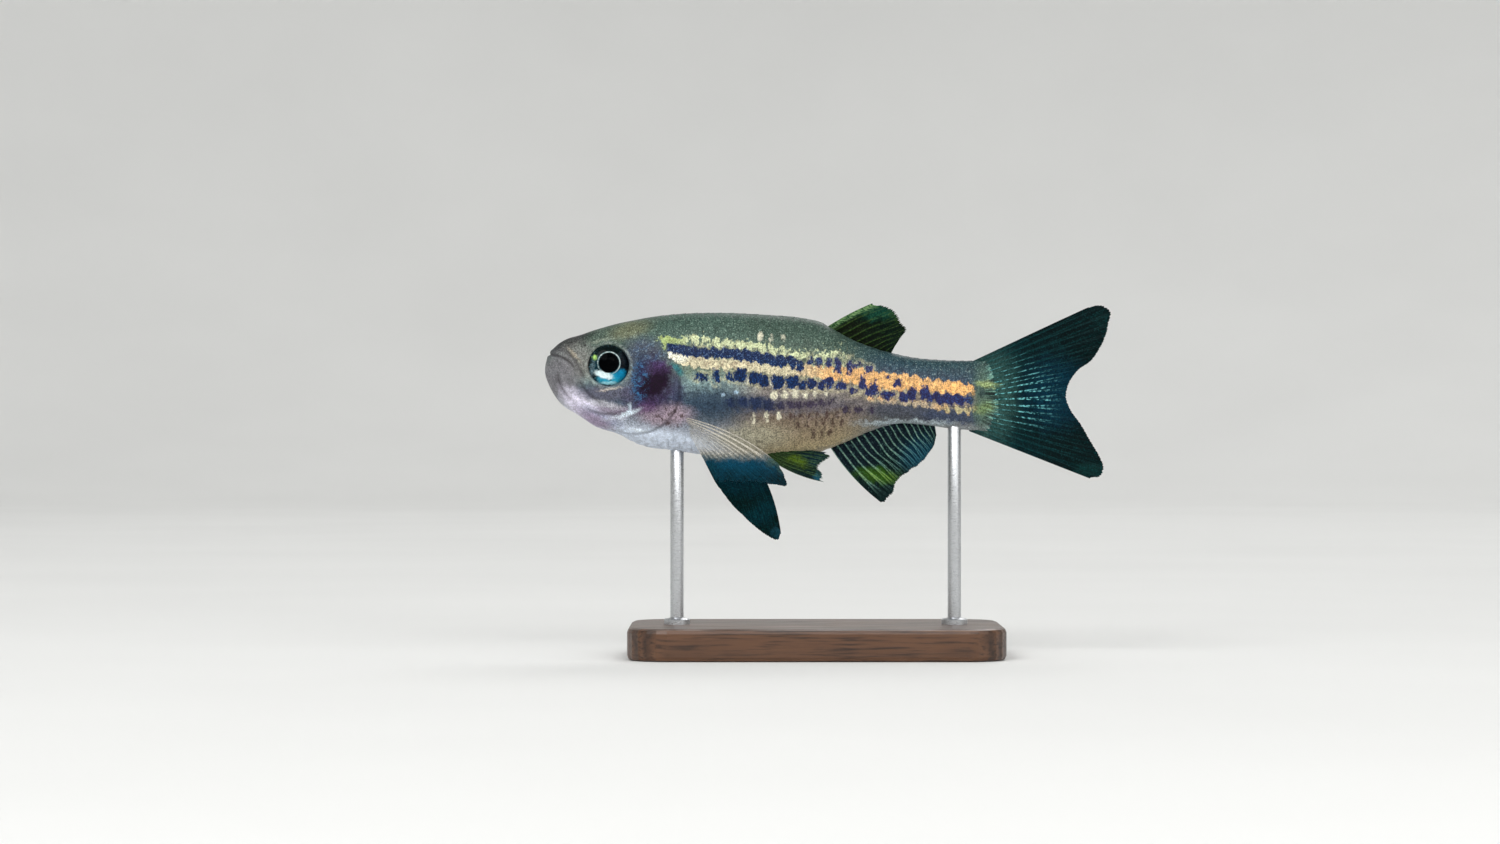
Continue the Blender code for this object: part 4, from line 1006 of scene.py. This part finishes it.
def skin_look(name):
    """The moist skin. The same markings lie on the skin and on the scales."""
    look = Look(name, specular=0.12, coat=0.06, coat_roughness=0.25)
    x = look.axis("X")
    fine = look.noise(9.0, 2, 0.7)
    mottle = look.noise(2.8, 3, 0.65)
    bars = look.noise(3.0, 2, 0.6, (1.3, 1, 0.85))
    push = look.noise(2.4, 3, 0.65, output="Color")
    stirred = look.stirred(push, 1.3)

    shade = flank_ground(look, x, mottle)
    shade = look.patches(shade, FLANK_TINTS, stirred)
    shade = look.patches(shade, HEAD_TINTS, look.stirred(push, 0.6))
    shade = look.patches(shade, BLOTCH_TINTS, stirred)
    eye_off = look.total(look.distance_from(EYE_X, EYE_Z), look.product(look.total(mottle, -0.5), 0.3))
    eye_rim = look.product(look.within(eye_off, 1.62, 1.82, 0.1), look.step(mottle, 0.3, 0.6), 0.5)
    shade = look.mix(eye_rim, shade, colour(142, 148, 142))

    def marked(name, softness, wobble, limit=1.0, wider=0.0):
        field = look.total(look.field(name), look.product(look.total(bars, -0.5), wobble))
        return look.step(field, -softness - wider, softness - wider, 0, limit)

    dusky = look.mix(look.step(x, 16, 19), colour(24, 38, 68), colour(50, 42, 62))
    shade = look.mix(marked("dusky", 0.09, 0.8, 0.9), shade, dusky)
    shade = look.mix(marked("brown", 0.08, 0.7, 0.8), shade, colour(60, 42, 40))

    # Pale bands: cream in front, orange behind, with darker cracks running down through them
    pale = look.mix(look.step(x, 18.0, 22.0), CREAM, ORANGE)
    low = look.product(look.step(look.field("height"), -0.12, -0.3), look.step(x, 30.5, 28.5))
    pale = look.mix(low, pale, TAN)
    # The whitish patch at the front of the pale band is partly its pale colour, partly a painted highlight
    pale = look.patches(pale, (((232, 230, 212), 9.9, 1.15, 0.9, 0.5, 0, 0.5, 1.0),
                               ((240, 180, 112), 31.0, -1.25, 1.2, 0.5, 0, 0.5, 1.0),
                               ((176, 166, 126), 31.0, -2.85, 1.3, 0.4, 0, 0.5, 1.0)))
    pale = look.mix(look.step(bars, 0.5, 0.36, 0, 0.48), pale, colour(128, 106, 86))
    halo = look.product(look.step(look.field("dark"), -0.34, -0.12), look.step(mottle, 0.4, 0.56), 0.5)
    shade = look.mix(look.product(halo, look.within(x, 11, 29, 0.6)), shade, colour(178, 172, 138))
    shade = look.mix(marked("pale", 0.08, 0.75), shade, pale)
    lime = look.mix(look.patch(9.0, 2, 1.4, 2), colour(188, 195, 154), colour(152, 168, 104))
    lime_share = look.product(marked("lime", 0.09, 1.1), look.step(x, 23.8, 21.5))
    shade = look.mix(lime_share, shade, lime)

    dark = look.mix(look.step(x, 18, 24), NAVY, PURPLE)
    dark = look.mix(look.step(fine, 0.48, 0.72, 0, 0.6), dark, colour(26, 74, 128))
    shade = look.mix(marked("dark", 0.07, 0.7, 1.0, 0.02), shade, dark)
    bright = look.mix(look.step(x, 14.6, 15.2), colour(158, 184, 204), colour(214, 210, 186))
    shade = look.mix(marked("bright", 0.07, 0.3, 0.92), shade, bright)
    shade = look.patches(shade, TAIL_TINTS, look.stirred(push, 0.6))
    fan = look.round_about(29.5, -1.8, 26.0, 0.35)
    shade = look.mix(look.product(look.step(fan, 0.53, 0.62, 0, 0.5), look.step(x, 32.8, 33.6)), shade,
                     colour(120, 168, 150))
    shade = look.brighten(shade, look.total(1, look.product(look.step(fan, 0.35, 0.6, -0.6, 0.3),
                                                            look.step(x, 32.3, 33.2))))

    # Shining blue specks on the gill cover, pale ones on the back, grain over everything
    shine = look.largest(look.patch(7.1, -0.6, 0.6, 1.4, 0, 0.6, 0.7),
                         look.patch(7.8, 1.3, 1.3, 0.8, 0, 0.5, 0.15))
    blobs = look.total(look.product(mottle, 0.6), look.product(fine, 0.4))
    shade = look.mix(look.product(look.step(blobs, 0.49, 0.58), shine), shade, colour(46, 108, 150))
    flecks = look.product(look.step(fine, 0.55, 0.75, 0, 0.45), look.step(look.field("height"), 0.1, 0.4),
                          look.step(x, 1.5, 5, 0.3, 1))
    shade = look.mix(flecks, shade, colour(142, 156, 144))
    calm = look.largest(look.patch(8.8, -5.3, 5.0, 1.1, -4), look.patch(2.4, -2.0, 3.4, 1.8, -50, 0.5, 0.7))
    swing = look.total(0.58, look.product(calm, -0.42))
    grain = look.step(fine, 0.26, 0.74, look.total(1, look.product(swing, -1)), look.total(1, swing))
    shade = look.brighten(shade, look.product(grain, look.step(mottle, 0.3, 0.7, 0.8, 1.2)))
    # Painted shade in the creases of the head, in the eye sockets and in the nostrils
    shade = look.mix(look.field("crease_shade"), shade, colour(44, 36, 42))
    # Darker scale rims: partly pigment, partly painted shade along the scales' edges
    shade = look.mix(look.product(look.field("rim"), 0.25), shade, colour(34, 44, 46))
    return look.finish(Base_Color=shade, Roughness=look.step(mottle, 0.3, 0.7, 0.36, 0.54),
                       Normal=look.bump(fine, 0.02))


class FinLook(Look):
    """Thin membrane with lighter, jointed rays, painted glints along them and a fine grain."""

    def __init__(self, name, rays):
        super().__init__(name, roughness=0.5, specular=0.04)
        self.reach, self.ray = self.field("reach"), self.step(self.field("ray"), 0.35, 0.95)
        self.core = self.step(self.field("ray"), 0.6, 0.98)
        fan = self.node("ShaderNodeCombineXYZ", X=self.product(self.field("across"), rays * 2.0),
                        Y=self.product(self.reach, 26))
        self.breaks = self.step(self.noise(1.0, 2, 0.6, place=fan.outputs[0]), 0.42, 0.62)
        self.grain = self.noise(9.0, 2, 0.7)
        self.place_stirred = self.stirred(self.noise(1.6, output="Color"), 1.4)

    def paint(self, shade, ray, ray_share, ray_glint, ray_glint_share, tints, flecks=0.3):
        """Soft ovals of colour, then the rays, then bright dashes along them, which are painted glints, then grain.
        """
        shade = self.patches(shade, tints, self.place_stirred)
        shade = self.mix(self.product(self.ray, ray_share), shade, colour(*ray))
        # Bright dashes along the jointed rays: painted glints
        shade = self.mix(self.product(self.core, self.breaks, ray_glint_share), shade, colour(*ray_glint))
        shade = self.mix(self.step(self.grain, 0.56, 0.72, 0, flecks), shade, colour(*ray))
        return self.brighten(shade, self.step(self.grain, 0.28, 0.72, 0.5, 1.5))

    def from_root(self, root, outer):
        """One colour at the root, another farther out."""
        clouds = self.product(self.total(self.noise(0.8), -0.5), 0.7)
        return self.mix(self.step(self.total(self.reach, clouds), 0.15, 0.75), colour(*root), colour(*outer))

    def done(self, shade, **inputs):
        return self.finish(Base_Color=shade, Normal=self.bump(self.grain, 0.02), **inputs)


def caudal_look():
    look = FinLook("tail fin", 21)
    middle = look.patch(35.2, -1.7, 2.6, 2.3, 0, 0.6, 0.95, look.place_stirred)
    # The fourth colour given to paint is for the painted glints along the rays
    shade = look.paint(look.from_root((4, 32, 36), (1, 15, 16)), (6, 62, 64),
                       look.step(look.reach, 1, 0.2, 0.08, 0.42), (116, 196, 200),
                       look.largest(middle, 0.015),
                       TAIL_TINTS + (((4, 38, 54), 38.2, -1.6, 2.2, 2.4, 0, 0.6, 0.9),
                                     ((10, 46, 44), 40.9, -7.3, 1.2, 0.5, 0, 0.6, 0.6),
                                     ((4, 32, 32), 41.7, 4.0, 0.5, 0.8, 0, 0.6, 0.5)))
    return look.done(shade)


def dorsal_look():
    look = FinLook("back fin", 10)
    # The fourth colour given to paint is for the painted glints along the rays
    shade = look.paint(look.from_root((9, 16, 6), (3, 17, 11)), (40, 66, 26),
                       look.step(look.reach, 1, 0.3, 0.12, 0.45), (104, 126, 60), 0.14,
                       (((14, 60, 48), 25.2, 4.5, 1.4, 0.6, 0, 0.6, 0.8),
                        ((44, 64, 26), 26.5, 4.1, 0.2, 0.8, 50, 0.6, 0.5)))
    # A broken pale line along the leading ray: a painted highlight
    edge = look.step(look.field("across"), 0.1, 0.03, 0, 0.7)
    return look.done(look.mix(edge, shade, look.mix(look.breaks, colour(36, 74, 46), colour(128, 164, 108))))


def anal_look():
    look = FinLook("anal fin", 17)
    # The fourth colour given to paint is for the painted glints along the rays
    shade = look.paint(look.from_root((6, 17, 28), (2, 18, 21)), (80, 116, 106),
                       look.step(look.reach, 1, 0.6, 0.1, 0.7), (156, 188, 164),
                       look.step(look.reach, 0.9, 0.5, 0, 0.4),
                       (((38, 72, 8), 24.9, -7.75, 1.5, 0.5, -8, 0.7, 0.85),
                        ((4, 38, 56), 28.0, -6.0, 1.4, 1.1, 25, 0.6, 0.8)))
    tip = look.patch(25.3, -9.2, 0.8, 0.5, -15, 0.6, 0.6)
    shade = look.mix(tip, shade, colour(6, 24, 24))
    shine = look.product(look.patch(27.8, -6.1, 1.3, 0.9, 25, 0.6), look.ray, 0.3)
    shade = look.mix(shine, shade, colour(36, 112, 136))
    lime = look.product(look.patch(24.9, -7.75, 1.3, 0.45, -8, 0.7), look.step(look.ray, 0, 1, 0.05, 0.75),
                        look.step(look.grain, 0.35, 0.6, 0.5, 1))
    return look.done(look.mix(lime, shade, colour(116, 150, 48)))


def pelvic_look():
    look = FinLook("pelvic fins", 8)
    # The fourth colour given to paint is for the painted glints along the rays
    shade = look.paint(look.from_root((34, 50, 24), (8, 28, 30)), (56, 84, 50), 0.4, (112, 136, 78), 0.2,
                       (((76, 98, 20), 18.9, -6.7, 0.8, 0.3, -14, 0.7, 0.75),
                        ((8, 34, 46), 20.6, -6.6, 0.8, 0.4, 0, 0.6, 0.8),
                        ((30, 84, 104), 20.7, -7.8, 0.4, 0.4, 0, 0.6, 0.6)))
    return look.done(shade)


def left_pectoral_look():
    """Clear over the belly, where only its pale rays show, and teal below it."""
    look = FinLook("left pectoral fin", 12)
    level = look.total(look.axis("Z"), look.product(look.total(look.noise(2.5, 3), -0.5), 0.8))
    below = look.step(level, -5.8, -6.75)
    ray = look.mix(below, colour(222, 216, 202), colour(12, 62, 76))
    shade = look.mix(below, colour(150, 148, 134), colour(8, 60, 82))
    shade = look.patches(shade, (((2, 32, 41), 14.8, -8.7, 4.6, 1.3, 0, 0.6, 1.0),
                                 ((6, 44, 52), 12.4, -7.4, 0.6, 0.8, 0, 0.7, 0.7),
                                 ((62, 80, 66), 17.5, -6.75, 0.8, 0.5, -20, 0.6, 0.9),
                                 ((4, 24, 28), 17.7, -8.0, 0.7, 0.6, 0, 0.7, 0.9)), look.place_stirred)
    wide_ray = look.step(look.field("ray"), 0.04, 0.6)
    shade = look.mix(look.product(wide_ray, look.step(below, 0, 1, 0.9, 0.25)), shade, ray)
    shade = look.brighten(shade, look.step(look.grain, 0.28, 0.72, 0.5, 1.5))
    leading = look.step(look.field("across"), 0.5, 0.1, 0.25, 0.55)
    over_far_fin = look.product(look.step(level, -7.95, -8.35), look.step(look.axis("X"), 17.2, 16.4))
    clear = look.largest(look.step(level, -5.7, -6.5, 0.1, 0.95), look.product(wide_ray, leading))
    clear = look.product(clear, look.step(over_far_fin, 0, 1, 1, 0.1))
    return look.done(shade, Alpha=clear)


def right_pectoral_look():
    look = FinLook("right pectoral fin", 12)
    # The fourth colour given to paint is for the painted glints along the rays
    shade = look.paint(look.from_root((6, 56, 78), (2, 26, 26)), (6, 70, 78),
                       look.step(look.reach, 1, 0.3, 0.06, 0.35), (40, 120, 124), 0.12,
                       (((4, 46, 58), 15.2, -8.4, 2.4, 0.8, 0, 0.8, 0.95),
                        ((4, 48, 58), 16.6, -10.4, 0.8, 1.7, -60, 0.6, 0.8),
                        ((30, 76, 92), 17.4, -12.1, 0.4, 0.5, 30, 0.6, 0.7)))
    return look.done(shade)


EYE_TINTS = (
    ((8, 18, 18), 4.85, 1.5, 1.15, 0.45, 0, 0.5, 1.0),
    ((10, 16, 22), 6.0, 0.75, 0.45, 0.85, 0, 0.5, 0.95),
    ((84, 104, 112), 3.55, -0.05, 0.16, 0.85, -12, 0.6, 0.8),
    ((84, 108, 118), 4.0, -0.8, 0.14, 0.45, -40, 0.6, 0.75),
)
# Bright iridescent colours of the iris, and last a painted highlight
EYE_IRIDESCENCE_AND_HIGHLIGHT = (
    ((40, 150, 180), 5.0, -0.5, 0.95, 0.4, 4, 0.4, 1.0),
    ((14, 126, 168), 5.75, -0.2, 0.4, 0.34, 20, 0.5, 1.0),
    ((224, 244, 246), 4.5, -0.24, 0.66, 0.26, -18, 0.35, 1.0),
    ((150, 210, 222), 4.9, -0.86, 0.75, 0.12, 0, 0.6, 0.95),
    ((10, 40, 54), 4.95, -0.62, 0.1, 0.07, 0, 0.7, 0.8),
    # A painted highlight: the yellow-green glint on the upper front of the iris
    ((170, 212, 112), 3.82, 1.08, 0.16, 0.15, 0, 0.7, 1.0),
)


def eye_look():
    look = Look("eye", roughness=0.3, specular=0.0, coat_roughness=0.04)
    off = look.distance_from(EYE_X, EYE_Z)
    pupil_off = look.distance_from(*PUPIL)
    streaks = look.round_about(*PUPIL, 11.0, 2.6)
    stirred = look.stirred(look.noise(4.0, output="Color"), 0.3)

    shade = look.ramp(look.product(off, 1 / EYE_RADIUS),
                      ((0.0, (22, 48, 56)), (0.62, (18, 44, 54)), (0.8, (26, 48, 54)), (0.93, (20, 28, 30)),
                       (1.0, (14, 18, 20))))
    shade = look.mix(look.step(streaks, 0.45, 0.7, 0, 0.6), shade, colour(70, 104, 112))
    shade = look.patches(shade, EYE_TINTS, stirred)
    sparkle = look.noise(7, 2, 0.7)
    shade = look.brighten(shade, look.product(look.step(streaks, 0.3, 0.7, 0.75, 1.25),
                                              look.step(sparkle, 0.3, 0.7, 0.6, 1.35)))
    # The iris's bright colours, then the painted highlight
    shade = look.patches(shade, EYE_IRIDESCENCE_AND_HIGHLIGHT, stirred)
    shade = look.brighten(shade, look.step(sparkle, 0.3, 0.7, 0.84, 1.1))
    # The silver ring round the pupil is painted brighter towards its upper side: a painted highlight on a real ring
    lit_from = look.total(look.axis("Z"), look.product(look.axis("X"), 0.35), look.product(streaks, 1.2))
    ring = look.product(look.within(pupil_off, 0.8, 0.86, 0.035), look.step(lit_from, 1.9, 3.2, 0.25, 0.95))
    ring_tint = look.mix(look.step(sparkle, 0.4, 0.6), colour(120, 150, 152), colour(204, 220, 218))
    shade = look.mix(ring, shade, ring_tint)
    pupil = look.step(pupil_off, PUPIL_RADIUS + 0.03, PUPIL_RADIUS - 0.03)
    shade = look.mix(pupil, shade, colour(2, 3, 4))
    return look.finish(Base_Color=shade, Normal=look.bump(streaks, 0.02, 0.3),
                       Coat_Weight=look.step(pupil, 0, 1, 0.12, 0.02))


def wood_look():
    """Dark stained hardwood under satin lacquer, its grain running along the base."""
    look = Look("stained wood", coat=0.3, coat_roughness=0.25)
    drawn_out = look.node("ShaderNodeMapping", Vector=look.place, Scale=(0.12, 1, 1)).outputs[0]
    rings = look.node("ShaderNodeTexWave", {"wave_type": "BANDS", "bands_direction": "Y"}, Vector=drawn_out,
                      Scale=0.42, Distortion=5.0, Detail=3.0)
    fibres = look.noise(5, 4, 0.6, (0.05, 1, 1))
    shade = look.mix(rings.outputs["Fac"], colour(58, 38, 26), colour(92, 62, 42))
    shade = look.mix(look.step(fibres, 0.45, 0.7), shade, colour(38, 25, 18))
    shade = look.mix(look.step(look.noise(0.16, 3), 0.4, 0.7, 0, 0.35), shade, colour(110, 76, 52))
    return look.finish(Base_Color=shade, Roughness=look.step(fibres, 0.3, 0.7, 0.34, 0.5),
                       Normal=look.bump(fibres, 0.03))


def steel_look():
    """Satin steel, brushed round the rod."""
    look = Look("satin steel", specular=0.5)
    brushed = look.noise(3.0, 3, 0.6, (1, 1, 9))
    shade = look.mix(brushed, colour(172, 174, 178), colour(206, 208, 210))
    return look.finish(Base_Color=shade, Metallic=1.0, Roughness=look.step(brushed, 0.3, 0.7, 0.24, 0.38),
                       Normal=look.bump(brushed, 0.01))


def floor_look():
    look = Look("pale floor", roughness=0.9)
    return look.finish(Base_Color=look.mix(look.noise(0.02), colour(228, 228, 226), colour(236, 236, 234)))


# The model


def dress(piece, material, slot, *nodes):
    """Gives a piece its material and its place in the model."""
    piece.data.materials.clear()
    piece.data.materials.append(material)
    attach(piece, "root")
    if nodes:
        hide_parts(*nodes)


SKIN_LOOK = skin_look("skin")
dress(make_skin(), SKIN_LOOK, "flesh",
      "head", "lower_jaw", "gill_cover_left", "gill_cover_right", "trunk", "tail_stem")
dress(make_scales(), SKIN_LOOK, "flesh")

dress(make_fin("caudal_fin_rays", caudal_root(), flat(CAUDAL_MARGIN), (0, 0, 0), 21, wave=0.35,
               branch_at=0.25, wander=0.03, fray=0.008, seed=2),
      caudal_look(), "fin", "caudal_fin")
dress(make_fin("dorsal_fin_rays", median_root(DORSAL_ROOT_X, BACK, -0.35), flat(DORSAL_MARGIN), (0, 0, 0.12),
               10, lean=0.75, fray=0.035, seed=3), dorsal_look(), "fin", "dorsal_fin")
dress(make_fin("anal_fin_rays", median_root(ANAL_ROOT_X, BELLY, 0.35), flat(ANAL_MARGIN), (-0.15, 0, -0.2),
               17, wander=0.12, fray=0.018, lean=0.72, seed=4), anal_look(), "fin", "anal_fin")
PECTORALS = {-1: (LEFT_PECTORAL_MARGIN, LEFT_PECTORAL_BEND, left_pectoral_look()),
             1: (RIGHT_PECTORAL_MARGIN, RIGHT_PECTORAL_BEND, right_pectoral_look())}
PELVIC_LOOK = pelvic_look()
EYE_LOOK = eye_look()
STEEL = steel_look()
for side, word in SIDES:
    margin, (bend_x, bend_y, bend_z), pectoral_look = PECTORALS[side]
    dress(make_fin(f"pectoral_fin_rays_{word}", paired_root(PECTORAL_ROOT, side, 0.35), beside(margin, side),
                   (bend_x, side * bend_y, bend_z), 12, fray=0.005, seed=6 + side), pectoral_look, "fin",
          f"pectoral_fin_{word}")
    dress(make_fin(f"pelvic_fin_rays_{word}", paired_root(PELVIC_ROOT, side, 0.3),
                   beside(PELVIC_MARGIN, side), PELVIC_BEND, 8, fray=0.04, seed=10 + side),
          PELVIC_LOOK, "fin", f"pelvic_fin_{word}")
    dress(make_eye(f"eyeball_{word}", side), EYE_LOOK, "eye", f"eye_{word}")
for word, station in ROD_STATIONS.items():
    dress(make_rod(f"stand_post_{word}", station), STEEL, "steel", f"stand_rod_{word}")
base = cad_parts["stand_base"]
base.data.materials.clear()
base.data.materials.append(wood_look())


# The studio


def make_backdrop():
    """A round floor that curves up into a wall all the way round, so that every view has it behind."""
    flat_radius, bend_radius, wall_top = 0.55, 0.35, 1.3
    turn = np.linspace(0, math.pi / 2, 24)
    bend = zip(flat_radius + bend_radius * np.sin(turn), bend_radius * (1 - np.cos(turn)))
    profile = [(0.001, 0), (0.2, 0), *bend, (flat_radius + bend_radius, wall_top)]
    spokes = 96
    faces = grid_faces(len(profile), spokes, closed=True)
    cap = new_piece("floor", turned(profile, spokes), faces)
    cap.data.materials.append(floor_look())


def area_light(name, place, size, power, aim=(0, 0, 0.018)):
    light = bpy.data.lights.new(name, "AREA")
    light.shape = "DISK"
    light.size = size
    light.energy = power
    lamp = bpy.data.objects.new(name, light)
    bpy.context.scene.collection.objects.link(lamp)
    lamp.location = place
    lamp.rotation_euler = (Vector(aim) - Vector(place)).to_track_quat("-Z", "Y").to_euler()


def make_camera():
    """The photo's view: level, square on to the left flank."""
    camera = bpy.data.cameras.new("camera")
    camera.sensor_width = 36
    camera.lens = 96
    camera.clip_start = 0.01
    eye = bpy.data.objects.new("camera", camera)
    bpy.context.scene.collection.objects.link(eye)
    eye.location = (-0.004925, -0.3, 0.01755)
    eye.rotation_euler = (math.pi / 2, 0, 0)
    bpy.context.scene.camera = eye


make_backdrop()
area_light("key", (-0.32, -0.5, 0.55), 0.45, 2.3)
area_light("front fill", (0.12, -0.52, 0.34), 0.3, 1.0)
area_light("side fill", (0.45, -0.4, 0.3), 0.5, 0.8)
area_light("back", (0.15, 0.5, 0.55), 0.4, 1.3)
area_light("glint", (-0.12, -0.4, 0.25), 0.09, 0.25)
world = bpy.data.worlds.new("studio")
world.use_nodes = True
world.node_tree.nodes["Background"].inputs["Color"].default_value = (0.95, 0.97, 1.0, 1)
world.node_tree.nodes["Background"].inputs["Strength"].default_value = 0.38
bpy.context.scene.world = world
bpy.context.scene.view_settings.view_transform = "Standard"
make_camera()
